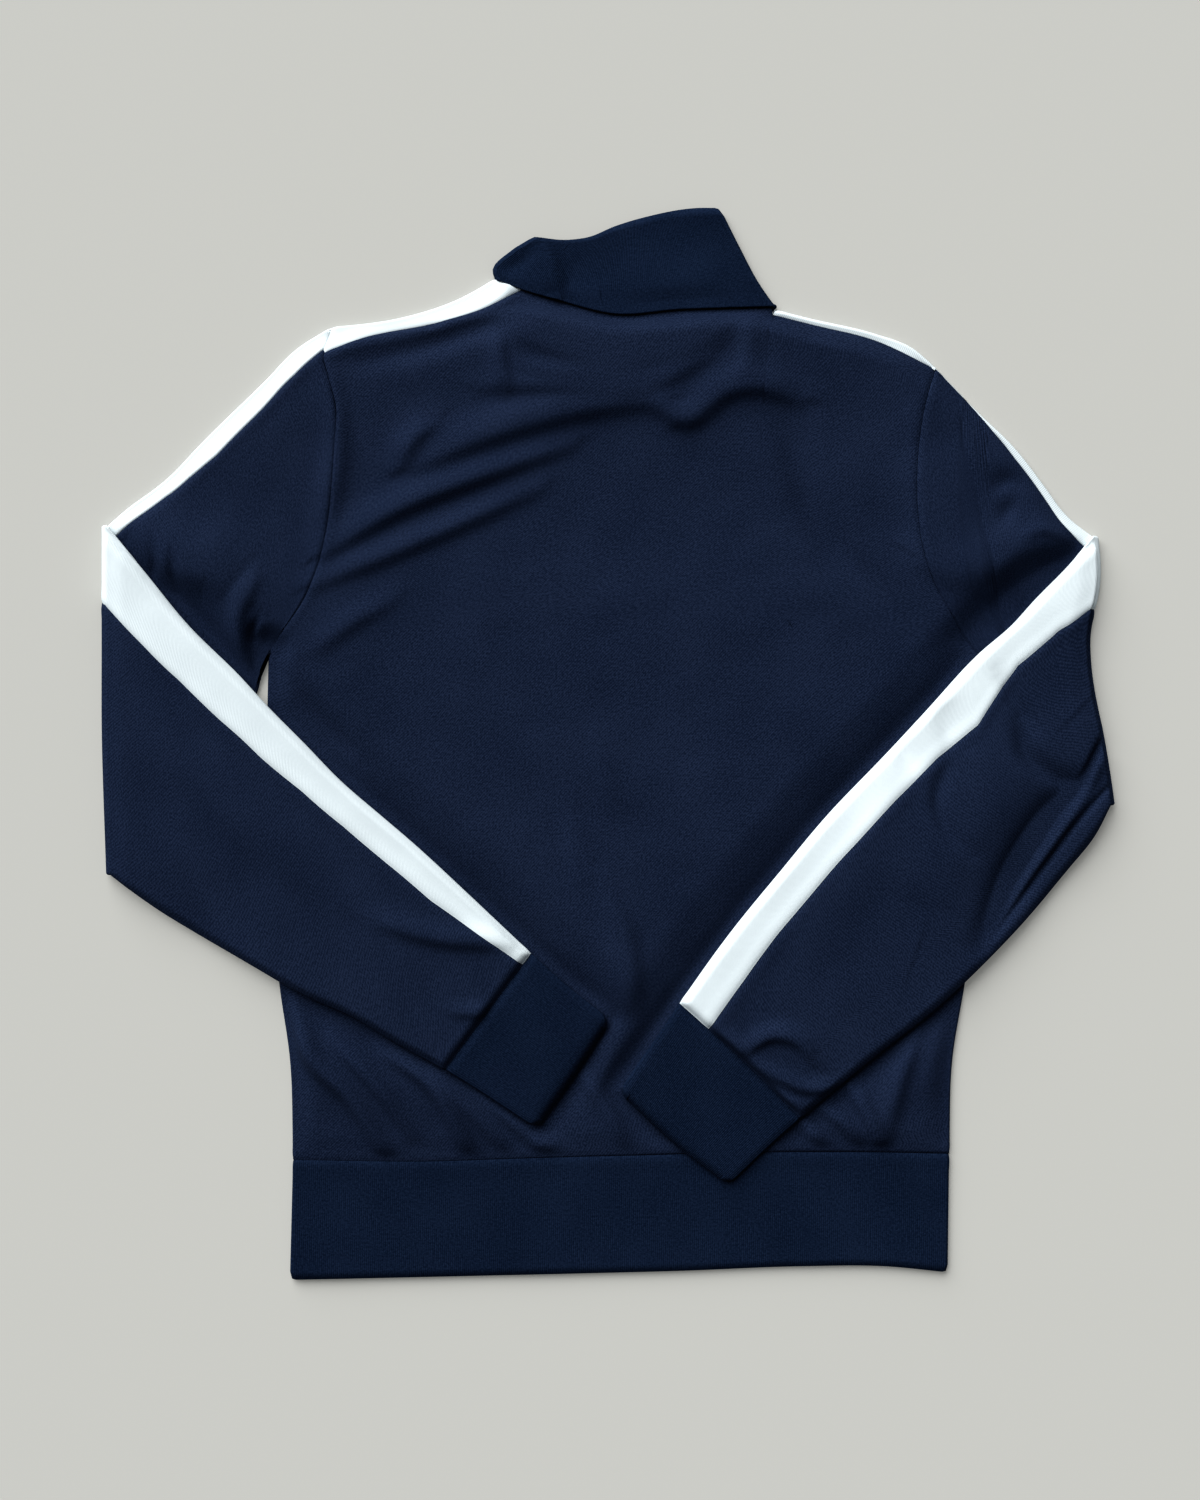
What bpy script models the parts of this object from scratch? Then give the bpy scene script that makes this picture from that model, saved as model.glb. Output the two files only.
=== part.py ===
"""Track jacket laid flat with its back up and its sleeves folded over it at the elbows.

The body and each sleeve are flattened tubes of knit: a layer on the ground, a layer above it and a
tight turn at each edge between them. A sleeve's tube goes out from its armhole, turns round the fold
line at the elbow and comes back over the jacket, so the front half of the sleeve ends on top.
X is across the jacket, to the wearer's right; Y runs from hem to collar; Z is up.
"""

import functools
import math

import bpy
import numpy as np

MM = 0.001  # every size below is in millimetres

# Cloth and the heights of its layers
WALL = 1.2        # body and sleeve knit
RIB_WALL = 1.8    # doubled rib knit
SEAM = 0.3        # gap between neighbouring pieces
EDGE_SEAM = 0.8   # the same between the middles of two pieces that meet on a turned edge
STRIPE_SEAM = 0.9 # the same beside a sleeve's white strip, which turns round the elbow
LOW = WALL / 2    # middle of the layer on the ground
HIGH = 3.3        # middle of the layer above it, where it is pressed down
FOLD_AXIS = 4.1   # height of the line that a sleeve folds round
CUFF_LOW = 3.0    # cuff layers, given as heights in the sleeve before it is folded over
CUFF_HIGH = 0.8
COLLAR_HIGH = 4.4
HEM_HIGH = 3.0

# Trim
STRIPE = 47.0     # whole width of a white strip
ZIP_GAP = 3.5     # from the centre line to a front's edge
TAPE_HALF = 14.0
TAPE_TOP = 2.3    # the zip's tape lies on the inside of the fronts
TAPE_BOTTOM = 1.5
CHAIN_HALF = 2.6
CHAIN_BOTTOM = 0.2
SLIDER = (6.0, 4.6, 11.0, 2.3)  # widths at its top and bottom ends, length and height

# Relief
LOFT = 1.6        # how far the loose upper layer stands off, between folds
HELD_REST = 15.0  # how far from an edge or a seam the cloth stays pressed down
HELD_RUN = 20.0   # how far it then takes to come loose

START_GAP = 0.006  # shares of its length that a sleeve stands off its armhole and its cuff
END_GAP = 0.001
SLEEVE_TURN = {"up": 1, "down": -1}  # which side of a sleeve's edge is its inside, for the wearer's right

CENTRING = (-0.335, -0.693)  # puts the middle of the outline's box at x = y = 0

# Grid steps
ARM_STEPS = 8     # along the navy part of an armhole
SIDE_STEPS = 12   # along a side seam
TURN_STEPS = 2    # round a quarter of an edge
TURN_SHARE = 0.6  # how much of a white strip's back goes into the turned edge where it is narrow

# Outlines seen from above, as (x, y)
NECK = [(-56, 301), (-32, 294), (6, 285), (46, 288), (74, 289), (111, 290)]
HEM = [(-208, -274), (-117, -275), (-53, -273), (21, -271), (104, -269), (168, -269), (226, -270)]
HEM_EDGE = [(-210, -353), (-117, -351), (-29, -349), (49, -347), (128, -344), (184, -344), (225, -348)]
FRONT_NECK = [(-74, 308), (-45, 264), (-12, 238), (27, 229), (61, 238), (91, 261), (111, 290)]
COLLAR_EDGE = [(-51, 335), (-27, 333), (-12, 335), (5, 342), (25, 348), (59, 354), (75, 354)]
COLLAR_FRONT_EDGE = [(-51, 335), (-33, 311), (-6, 297), (27, 293), (50, 300), (64, 322), (75, 354)]
COLLAR_LEFT = [(-74, 308), (-76, 313), (-64, 327), (-51, 335)]
COLLAR_RIGHT = [(111, 290), (101, 304), (88, 328), (75, 354)]
CENTRE = [(20, -347), (21, -272), (27, 229), (27, 292)]  # the zip, from the hem's edge to the collar's

# One side of the jacket each: side is -1 for the wearer's left
SIDES = {
    "left": {
        "side": -1,
        "shoulder": [(-74, 308), (-100, 294), (-138, 282), (-182, 276)],
        "armhole": [(-182, 276), (-187, 258), (-183, 241), (-178, 220), (-179, 202), (-181, 172),
                    (-184, 145), (-190, 119), (-198, 99), (-209, 82), (-224, 63)],
        "side_seam": [(-208, -274), (-210, -208), (-217, -158), (-223, -69), (-225, 16), (-224, 63)],
        "stripe_edge_up": [(-182, 276), (-204, 263), (-227, 240), (-268, 200), (-291, 176),
                           (-320, 154), (-334, 145)],
        "underarm_up": [(-224, 63), (-232, 58), (-236, 50), (-238, 38), (-247, 14), (-269, -13), (-302, -53),
                        (-331, -86)],
        "crease": [(-334, 145), (-334, 61), (-334, 16), (-331, -86)],
        "stripe_edge_down": [(-334, 145), (-301, 110), (-275, 78), (-242, 46), (-225, 27), (-197, -1),
                             (-176, -23), (-148, -47), (-127, -65), (-86, -103), (-50, -137)],
        "underarm_down": [(-331, -86), (-303, -104), (-235, -145), (-198, -166), (-167, -180), (-139, -197),
                          (-107, -214)],
        "cuff_seam": [(-50, -137), (-107, -214)],
        "cuff_top": [(-50, -137), (-25, -159), (2, -180)],
        "cuff_under": [(-107, -214), (-80, -231), (-47, -253)],
        "cuff_edge": [(2, -180), (-21, -216), (-47, -253)],
        "shoulder_inner": [(-56, 301), (-78, 289), (-110, 279), (-162, 268), (-187, 258)],
        "shoulder_white": 13.0,
        "back_white": 21.0,
        # widths of white on the sleeve's back, evenly from armhole to elbow and from elbow to cuff
        "white_up": (11.4, 14.0, 13.0, 13.5, 14.3, 11.4, 9.4, 9.5, 11.5),
        "white_down": (12.3, 15.9, 18.2, 18.4, 20, 24, 25.7, 25.6, 26.8, 32, 37.5),
    },
    "right": {
        "side": 1,
        "shoulder": [(111, 287), (136, 281), (177, 271.5), (200, 263), (217, 249)],
        "armhole": [(217, 249), (210, 229), (205, 201), (203, 174), (204, 148), (207, 128), (214, 107),
                    (225, 88), (235, 72), (250, 53)],
        "side_seam": [(226, -270), (228, -208), (237, -153), (247, -69), (250, 3), (250, 53)],
        "stripe_edge_up": [(217, 249), (247, 218), (270, 195), (288, 172), (304, 151), (324, 138)],
        "underarm_up": [(250, 53), (262, 44), (285, 20), (309, -8), (335, -40)],
        "crease": [(324, 138), (325.5, 123), (324, 97), (320, 82), (319, 60), (321, 40), (328, 5), (332, -19),
                   (335, -40)],
        "stripe_edge_down": [(324, 138), (306, 121), (280, 95), (266, 79), (245, 61), (207, 20), (179, -10),
                             (148, -42), (111, -86), (80, -124), (47, -170)],
        "underarm_down": [(335, -40), (321, -60), (306, -79), (289, -100), (257, -135), (215, -175),
                          (177, -205), (127, -246)],
        "cuff_seam": [(47, -170), (85, -204), (127, -246)],
        "cuff_top": [(47, -170), (27, -199), (7, -228)],
        "cuff_under": [(127, -246), (104, -267), (80, -290)],
        "cuff_edge": [(7, -228), (41, -260), (80, -290)],
        "shoulder_inner": [(109, 284), (135, 277.5), (180, 265.7), (198, 257), (215, 247)],
        "shoulder_white": 3.2,
        "back_white": 3.4,
        "white_up": (1.0, 1.0, 1.2, 2.7, 4.4, 4.5, 5.5, 6.9, 10.0),
        "white_down": (11.5, 17.5, 20, 18.5, 20.5, 21.5, 20.7, 21.5, 22, 21, 21.3),
    },
}

# Soft folds as ridges: start, middle, end, half width, height
FOLD_COLUMNS = ("start", "middle", "end", "reach", "height")
BACK_FOLDS = [
    ((-62, 268), (-15, 266), (38, 270), 8, 2.2),
    ((-40, 246), (20, 253), (84, 278), 8, 2.2),
    ((-150, 196), (-95, 200), (-35, 219), 9, 2.2),
    ((-35, 219), (20, 230), (60, 216), 9, 2.4),
    ((60, 216), (92, 238), (128, 234), 8, 2.2),
    ((-168, 144), (-120, 162), (-84, 182), 9, 2.0),
    ((-186, 108), (-165, 114), (-140, 122), 9, 1.4),
    ((98, 274), (92, 262), (86, 250), 6, 1.4),
    ((-175, 262), (-172, 240), (-171, 218), 7, 1.8),
    ((124, 210), (134, 190), (142, 168), 9, 1.2),
    ((-200, -190), (-168, -225), (-138, -262), 7, 1.8),
    ((-130, -238), (-114, -252), (-100, -266), 6, 1.2),
    ((198, -200), (190, -222), (182, -246), 7, 1.6),
    ((162, -232), (166, -248), (168, -260), 6, 1.4),
]
ARM_FOLDS = {
    "left": [
        ((-290, 20), (-240, -40), (-180, -95), 16, 0.8),
        ((-150, -122), (-110, -134), (-76, -132), 8, 0.8),
    ],
    "right": [
        ((326, -12), (290, -70), (250, -125), 9, 1.6),
        ((262, 40), (276, -20), (300, -25), 9, 1.2),
        ((170, 0), (190, -60), (160, -130), 14, 0.8),
    ],
}
# Where a forearm sags towards the ground beside the body: centre, reach, depth
ARM_SAG = {
    "left": ((-269, -119), 30, 2.6),
    "right": ((288, -90), 24, 2.6),
}


def along(points, share):
    """Points at the given shares of the length of a smooth curve through a table's points."""
    knots = np.array(points, float)
    steps = np.linalg.norm(np.diff(knots, axis=0), axis=1)
    station = np.concatenate(([0.0], np.cumsum(steps)))
    slopes = np.gradient(knots, station, axis=0)
    place = np.asarray(share, float) * station[-1]
    span = np.clip(np.searchsorted(station, place, side="right") - 1, 0, len(steps) - 1)
    run = steps[span][..., None]
    t = ((place - station[span])[..., None]) / run
    start, end = knots[span], knots[span + 1]
    leave, arrive = slopes[span] * run, slopes[span + 1] * run
    return ((2 * t**3 - 3 * t**2 + 1) * start + (t**3 - 2 * t**2 + t) * leave
            + (3 * t**2 - 2 * t**3) * end + (t**3 - t**2) * arrive)


def length(points):
    return float(np.linalg.norm(np.diff(np.array(points, float), axis=0), axis=1).sum())


def stretch(points, first, last, count=12):
    """The part of a curve between two shares of its length, as a table of its own."""
    return along(points, np.linspace(first, last, count))


def inset(points, distance, count=12):
    """A curve moved sideways in plan, to its right as it runs."""
    route = along(points, np.linspace(0, 1, count))
    heading = np.gradient(route, axis=0)
    heading /= np.linalg.norm(heading, axis=1, keepdims=True)
    return route + distance * np.stack((heading[:, 1], -heading[:, 0]), axis=1)


def patch(near, far, first, last, across, up, fade=1.0):
    """Plan points of a four-sided patch between four curves that meet at its corners.

    fade is how fast the shapes of the near and far curves die away towards the middle.
    """
    u, v = np.broadcast_arrays(np.asarray(across, float), np.asarray(up, float))
    u, v = u[..., None], v[..., None]

    def bow(curve):
        return along(curve, u[..., 0]) - (1 - u) * along(curve, 0.0) - u * along(curve, 1.0)

    return ((1 - u) * along(first, v[..., 0]) + u * along(last, v[..., 0])
            + (1 - v)**fade * bow(near) + v**fade * bow(far))


def spread(stops, counts):
    """Rising values from stop to stop, with the given number of steps in each run."""
    runs = [np.linspace(a, b, n + 1)[:-1] for a, b, n in zip(stops, stops[1:], counts)]
    return np.concatenate(runs + [np.array([stops[-1]])])


def ease(value):
    t = np.clip(value, 0, 1)
    return t * t * (3 - 2 * t)


def distance_to(route, x, y):
    """Distance of each point from a line of points, and the share of the line at which it is nearest."""
    route = np.array(route, float)
    total, passed = length(route), 0.0
    nearest = np.full(np.shape(x), np.inf)
    share = np.zeros(np.shape(x))
    for (ax, ay), (bx, by) in zip(route, route[1:]):
        run = math.hypot(bx - ax, by - ay)
        t = np.clip(((x - ax) * (bx - ax) + (y - ay) * (by - ay)) / run**2, 0, 1)
        gap = np.hypot(x - ax - t * (bx - ax), y - ay - t * (by - ay))
        closer = gap < nearest
        nearest = np.where(closer, gap, nearest)
        share = np.where(closer, (passed + t * run) / total, share)
        passed += run
    return nearest, share


def inside(outline, x, y):
    within = np.zeros(np.shape(x), bool)
    for (ax, ay), (bx, by) in zip(outline, np.roll(outline, -1, axis=0)):
        crosses = (ay > y) != (by > y)
        rise = by - ay if by != ay else 1.0
        within ^= crosses & (x < ax + (y - ay) * (bx - ax) / rise)
    return within


def ridges(folds, x, y):
    """Height of all the soft folds of a table, each fading out at its ends."""
    total = np.zeros(np.shape(x))
    for row in folds:
        fold = dict(zip(FOLD_COLUMNS, row))
        route = along([fold["start"], fold["middle"], fold["end"]], np.linspace(0, 1, 7))
        gap, share = distance_to(route, x, y)
        fade = np.sqrt(np.clip(np.sin(np.pi * (0.08 + 0.84 * share)), 0, 1))
        total = total + fold["height"] * fade * np.exp(-(gap / fold["reach"])**2)
    return total


def forearm_outline(side):
    """The folded-back part of a sleeve and its cuff, as a closed outline."""
    parts = [stretch(side["stripe_edge_down"], 0, 1), side["cuff_top"][1:], side["cuff_edge"][1:],
             side["cuff_under"][-2::-1], stretch(side["underarm_down"], 0.95, 0)]
    return np.concatenate([np.array(part, float) for part in parts])


def held_lines():
    """Lines along which the upper layer is pressed down onto the lower one."""
    lines = [HEM, NECK]
    for side in SIDES.values():
        lines += [side[edge] for edge in ("shoulder", "side_seam", "stripe_edge_up", "underarm_up", "crease")]
        outline = forearm_outline(side)
        lines.append(np.concatenate((outline, outline[:1])))
    return lines


def lift(x, y):
    """How far the loose cloth of the back and upper arms stands above where it is pressed down."""
    nearest = np.full(np.shape(x), np.inf)
    covered = np.zeros(np.shape(x), bool)
    for line in held_lines():
        nearest = np.minimum(nearest, distance_to(line, x, y)[0])
    for side in SIDES.values():
        covered |= inside(forearm_outline(side), x, y)
    loose = np.where(covered, 0.0, ease((nearest - HELD_REST) / HELD_RUN))
    return loose * (LOFT + ridges(BACK_FOLDS, x, y))


def arm_lift(name, x, y):
    """Folds on the top of a forearm, held down at its edges and its cuff."""
    nearest, _ = distance_to(forearm_outline(SIDES[name]), x, y)
    return ease(nearest / HELD_RUN) * ridges(ARM_FOLDS[name], x, y)


def arm_sag(name, x, y):
    (cx, cy), reach, depth = ARM_SAG[name]
    return depth * np.exp(-((x - cx)**2 + (y - cy)**2) / reach**2)


def solid(name, points, faces, material, parent):
    mesh = bpy.data.meshes.new(name)
    mesh.from_pydata(points, [], faces)
    mesh.materials.append(material)
    piece = bpy.data.objects.new(name, mesh)
    bpy.data.collections["track jacket"].objects.link(piece)
    piece.parent = parent
    return piece


def cloth(name, grid, wall, material, parent):
    """A knit wall round a grid of middle points, closed by Solidify."""
    rows, columns = grid.shape[:2]
    points = [tuple(point) for point in grid.reshape(-1, 3) * MM]
    faces = []
    for i in range(rows - 1):
        for j in range(columns - 1):
            a = i * columns + j
            faces.append((a, a + 1, a + columns + 1, a + columns))
    piece = solid(name, points, faces, material, parent)
    piece.data.shade_smooth()
    shell = piece.modifiers.new("wall", "SOLIDIFY")
    shell.thickness = wall * MM
    shell.offset = 0.0
    return piece


def round_edge(place, flat, slant, wall, low, high):
    """Plan distance from the first edge and height, for places round a flattened tube.

    0 is the first edge and 3 the second; from 1 to 2 the layer is flat. Places below zero are on
    the lower layer. slant is how much longer a cut across each edge is than its true width.
    """
    radius, middle = (high - low) / 2, (high + low) / 2
    reach = np.abs(place)
    turn_a = np.clip(reach, 0, 1) * math.pi / 2
    turn_b = np.clip(3 - reach, 0, 1) * math.pi / 2
    across = (slant[0] * (wall / 2 + radius * (1 - np.cos(turn_a))) + np.clip(reach - 1, 0, 1) * flat
              + slant[1] * radius * np.cos(turn_b))
    height = middle + np.sign(place) * radius * np.sin(turn_a) * np.sin(turn_b)
    return across, height


def slant(section, edge):
    """How much longer a cut along a section is than the true width that it crosses at an edge."""
    cosine = abs(float(np.dot(section, edge))) / (np.linalg.norm(section) * np.linalg.norm(edge))
    return 1 / math.sqrt(max(1 - cosine**2, 0.25))


def stripe_slant(edge, ends, share):
    """The slant of a section, given by its ends, to a sleeve's stripe edge."""
    chord = along(edge, min(share + 0.12, 1.0)) - along(edge, max(share - 0.12, 0.0))
    return slant(ends[1] - ends[0], chord)


def sleeve_sections():
    """Rows along a sleeve: its stretch, its share of that stretch, the turn and the layer heights."""
    rows = [("up", s, 0.0, LOW, HIGH) for s in np.linspace(0, 1, 7)]
    rows += [("turn", 1.0, math.radians(a), LOW, HIGH) for a in (30, 60, 90, 120, 150)]
    for s in np.linspace(0, 1, 15):
        share = ease((s - 0.8) / 0.2)
        rows.append(("down", s, math.pi, LOW + share * (CUFF_HIGH - LOW), HIGH + share * (CUFF_LOW - HIGH)))
    return rows


def sleeve_plan(side, stage, edge):
    """Outer edges of a stretch of sleeve, and the patch of its flat layers between their turned edges."""
    inward = np.array([-side["side"] * (FOLD_AXIS - LOW + WALL / 2), 0.0])
    crease = np.array(side["crease"], float) + inward
    if stage == "down":
        near, far, fold_end = crease, side["cuff_seam"], 0
        stripe, under = side["stripe_edge_down"], side["underarm_down"]
    else:
        near, far, fold_end = side["armhole"], crease, -1
        stripe, under = side["stripe_edge_up"], side["underarm_up"]
    stripe, under = np.array(stripe, float), np.array(under, float)
    stripe[fold_end] += inward
    under[fold_end] += inward
    trimmed = [stretch(curve, edge / length(curve), 1 - edge / length(curve)) for curve in (near, far)]
    inner = []
    for border, corner, turn in ((stripe, 0, 1), (under, -1, -1)):
        line = inset(border, turn * edge * SLEEVE_TURN[stage] * side["side"])
        line[0], line[-1] = trimmed[0][corner], trimmed[1][corner]
        inner.append(line)
    return stripe, under, (*trimmed, *inner)


def sleeve_place(distance, flat, oblique, radius):
    """Place round the tube of what lies at a true distance from its first edge."""
    edge = WALL / 2 + radius
    if distance >= edge:
        return 1 + (distance - edge) * oblique / flat
    return math.acos(min(1.0, 1 - (distance - WALL / 2) / radius)) * 2 / math.pi


def sleeve_grid(name, stops, counts):
    """Middle points of one lengthwise piece of a sleeve; stops gives its borders round the tube."""
    side = SIDES[name]
    grid = []
    for stage, share, turn, low, high in sleeve_sections():
        radius, middle = (high - low) / 2, (high + low) / 2
        edge = WALL / 2 + radius
        stripe, under, plan = sleeve_plan(side, "down" if stage == "down" else "up", edge)
        where = share
        if stage == "up":
            where = share + START_GAP * (1 - ease(share * 6))
        if stage == "down":
            where = min(share, 1 - END_GAP)
        outer = along(stripe, where), along(under, where)
        inner = patch(*plan, np.array([0.0, 1.0]), where, 2.5)
        flat = float(np.linalg.norm(inner[1] - inner[0]))
        oblique = stripe_slant(stripe, inner, where)
        widths = side["white_down"] if stage == "down" else side["white_up"]
        white = np.interp(share, np.linspace(0, 1, len(widths)), widths)
        if stage == "turn":
            next_edge = sleeve_plan(side, "down", edge)[0]
            oblique += turn / math.pi * (stripe_slant(next_edge, inner, 0.0) - oblique)
            white += turn / math.pi * (side["white_down"][0] - white)
        place_of = functools.partial(sleeve_place, flat=flat, oblique=oblique, radius=radius)
        place = spread(stops(place_of, white, radius), counts)
        reach = np.abs(place)
        turn_a = np.clip(reach, 0, 1) * math.pi / 2
        turn_b = np.clip(3 - reach, 0, 1) * math.pi / 2
        xy = patch(*plan, np.clip(reach - 1, 0, 1), where, 2.5)
        for corner, angle, chosen in ((0, turn_a, reach < 1), (1, turn_b, reach > 2)):
            gap = (WALL / 2 + radius * (1 - np.cos(angle))) / edge
            rolled = outer[corner] + gap[:, None] * (inner[corner] - outer[corner])
            xy = np.where(chosen[:, None], rolled, xy)
        height = middle + np.sign(place) * radius * np.sin(turn_a) * np.sin(turn_b)
        arm = FOLD_AXIS - height
        x, y = xy[:, 0] + side["side"] * arm * math.sin(turn), xy[:, 1]
        z = FOLD_AXIS - arm * math.cos(turn)
        if stage == "up":
            z = z + np.where(place > 0, lift(x, y), 0.0)
        if stage == "down":
            z = z + np.where(place < 0, arm_lift(name, x, y), 0.0) - arm_sag(name, x, y)
        grid.append(np.stack((x, y, z), axis=1))
    return np.array(grid)


def roll_gap(radius):
    """Half a seam's gap, as a place on a turned edge."""
    return EDGE_SEAM / 2 / (radius * math.pi / 2)


def make_sleeve(name, materials, parent):
    navy, white = materials["navy"], materials["white"]

    def back(place, width, radius):
        return [place(width + STRIPE_SEAM / 2), 2.0, 3 - roll_gap(radius)]

    def front(place, width, radius):
        return [-3 + roll_gap(radius), -2.0, -place(STRIPE - width + STRIPE_SEAM / 2)]

    def stripe(place, width, radius):
        border = place(width - STRIPE_SEAM / 2)
        return [-place(STRIPE - width - STRIPE_SEAM / 2), -1.0, min(1.0, TURN_SHARE * border), border]

    for piece, stops, counts, colour in (
            ("sleeve_back", back, (ARM_STEPS, TURN_STEPS), navy),
            ("sleeve_front", front, (TURN_STEPS, ARM_STEPS), navy),
            ("sleeve_stripe", stripe, (2, 2 * TURN_STEPS, 1), white)):
        cloth(f"{piece}_{name}", sleeve_grid(name, stops, counts), WALL, colour, parent)


def make_cuff(name, materials, parent):
    """A short rib tube, closed round, with its folded edge at the wrist."""
    side = SIDES[name]
    place = spread([-3, -2, -1, 0, 1, 2, 3], (2, 4, 2, 2, 4, 2))[:-1]
    grid = []
    for share in (0.0, 0.5, 1.0):
        plan = side["cuff_seam"], side["cuff_edge"], side["cuff_top"], side["cuff_under"]
        ends = patch(*plan, np.array([0.0, 1.0]), share)
        width = float(np.linalg.norm(ends[1] - ends[0]))
        flat = width - 2 * (RIB_WALL / 2 + (CUFF_LOW - CUFF_HIGH) / 2)
        across, height = round_edge(place, flat, (1, 1), RIB_WALL, CUFF_HIGH, CUFF_LOW)
        xy = patch(*plan, across / width, max(share, SEAM / 60))
        grid.append(np.column_stack((xy, 2 * FOLD_AXIS - height)))
    tube(f"cuff_{name}", np.array(grid), RIB_WALL, materials["rib"], parent)


def tube(name, grid, wall, material, parent):
    """A knit wall that closes on itself round its rows."""
    closed = np.concatenate((grid, grid[:, :1]), axis=1)
    piece = cloth(name, closed, wall, material, parent)
    weld = piece.modifiers.new("close", "WELD")
    weld.merge_threshold = 0.05 * MM
    piece.modifiers.move(1, 0)
    return piece


def side_boundary(side, white, steps, halves):
    """Points up a side seam and then up the armhole to the white strip, and which of them turn down."""
    seam = along(side["side_seam"], np.linspace(0, 1, steps + 1))
    armhole = along(side["armhole"], np.linspace(1, white / length(side["armhole"]), ARM_STEPS + 1))
    if halves:
        between = (armhole[:-1] + armhole[1:]) / 2
        armhole = np.insert(armhole, np.arange(1, len(armhole)), between, axis=0)
    turned = np.concatenate((np.ones(len(seam)), np.zeros(len(armhole) - 1)))
    return np.concatenate((seam, armhole[1:])), turned


def blend_between(low, high, first, last):
    """Plan points of a patch whose four borders are lists of points, one for each column or row."""
    u = np.concatenate(([0.0], np.cumsum(np.linalg.norm(np.diff(low, axis=0), axis=1))))
    v = np.concatenate(([0.0], np.cumsum(np.linalg.norm(np.diff(first, axis=0), axis=1))))
    u, v = (u / u[-1])[None, :, None], (v / v[-1])[:, None, None]
    corners = ((1 - u) * (1 - v) * low[0] + u * (1 - v) * low[-1]
               + (1 - u) * v * high[0] + u * v * high[-1])
    return (1 - v) * low[None] + v * high[None] + (1 - u) * first[:, None] + u * last[:, None] - corners


def side_columns(plan, turned, layer):
    """The first columns of a body panel: where it turns down at its side seam, or stops at an armhole."""
    radius, middle = (HIGH - LOW) / 2, (HIGH + LOW) / 2
    towards = plan[:, 1] - plan[:, 0]
    towards /= np.linalg.norm(towards, axis=1, keepdims=True)
    columns = []
    for step in (roll_gap(radius), 0.5, 1.0):
        turn = step * math.pi / 2
        rolled = WALL / 2 + radius * (1 - math.cos(turn))
        plain = SEAM / 2 + step * (WALL / 2 + radius)
        gap = np.where(turned, rolled, plain)
        height = middle + layer * radius * np.where(turned, math.sin(turn), 1.0)
        columns.append(np.column_stack((plan[:, 0] + towards * gap[:, None], height)))
    return columns


def level(plan, height):
    """The flat columns of a body panel."""
    return [np.column_stack((plan[:, j], np.full(len(plan), height))) for j in range(plan.shape[1])]


def make_back(materials, parent):
    left, right = SIDES["left"], SIDES["right"]
    first, turned = side_boundary(left, left["back_white"], SIDE_STEPS, True)
    last, _ = side_boundary(right, right["back_white"], SIDE_STEPS, True)
    seam = inset(NECK, SEAM)
    top = np.concatenate((along(left["shoulder_inner"][::-1], np.linspace(0, 1, 7)),
                          along(seam, np.linspace(0.02, 0.97, 9)),
                          along(right["shoulder_inner"], np.linspace(0, 1, 7))))
    top[:, 1] -= SEAM / 2
    low = along(HEM, np.linspace(0, 1, len(top)))
    low[:, 1] += SEAM
    first[0], first[-1] = low[0], top[0]
    last[0], last[-1] = low[-1], top[-1]
    plan = blend_between(low, top, first, last)
    grid = np.stack(side_columns(plan, turned, 1) + level(plan[:, 1:-1], HIGH)
                    + side_columns(plan[:, ::-1], turned, 1)[::-1], axis=1)
    grid[:, :, 2] += lift(grid[:, :, 0], grid[:, :, 1])
    cloth("back", grid, WALL, materials["navy"], parent)


def make_front(name, materials, parent):
    """One front panel, hidden on the ground, from its side seam to the zip."""
    side = SIDES[name]
    front_white = STRIPE - side["shoulder_white"]
    first, turned = side_boundary(side, front_white + SEAM, SIDE_STEPS // 2, False)
    neck = FRONT_NECK if name == "left" else FRONT_NECK[::-1]
    centre = along(CENTRE[1:3], np.linspace(0, 1, len(first)))
    centre[:, 0] += side["side"] * ZIP_GAP
    hem = HEM if name == "left" else HEM[::-1]
    hem_share = abs(centre[0, 0] - hem[0][0]) / length(HEM)
    neck_from = front_white / length(neck)
    neck_to = distance_to(neck, centre[-1, 0], centre[-1, 1])[1]
    strip = stretch(strip_plan(name, -1)[3], 1, 0, 7)
    neckline = stretch(neck, neck_from, float(neck_to), 6)
    neckline[:, 1] -= SEAM
    top = np.concatenate((strip[:-1], neckline))
    top[:6, 1] -= SEAM
    low = along(hem, np.linspace(0, hem_share, len(top)))
    low[:, 1] += SEAM
    centre[0, 1], low[-1, 0] = low[-1, 1], centre[0, 0]
    centre[-1] = top[-1]
    first[0], first[-1] = low[0], top[0]
    plan = blend_between(low, top, first, centre)
    grid = np.stack(side_columns(plan, turned, -1) + level(plan[:, 1:], LOW), axis=1)
    cloth(f"front_{name}", grid, WALL, materials["navy"], parent)


def strip_plan(name, layer):
    """Outline of the white strip over a shoulder, on its back (1) or its front (-1) layer."""
    side = SIDES[name]
    neck = FRONT_NECK if name == "left" else FRONT_NECK[::-1]
    if layer > 0:
        inner = np.array(side["shoulder_inner"], float)
        near = [side["shoulder"][0], side["shoulder_inner"][0]]
        far = stretch(side["armhole"], 0, distance_to(side["armhole"], *inner[-1])[1])
    else:
        width = STRIPE - side["shoulder_white"]
        inner = inset(side["shoulder"], width * side["side"])
        near = stretch(neck, 0, width / length(neck))
        near[0] = side["shoulder"][0]
        far = stretch(side["armhole"], 0, width / length(side["armhole"]))
        inner[0] = near[-1]
    inner[-1] = far[-1]
    return near, far, side["shoulder"], inner


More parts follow.
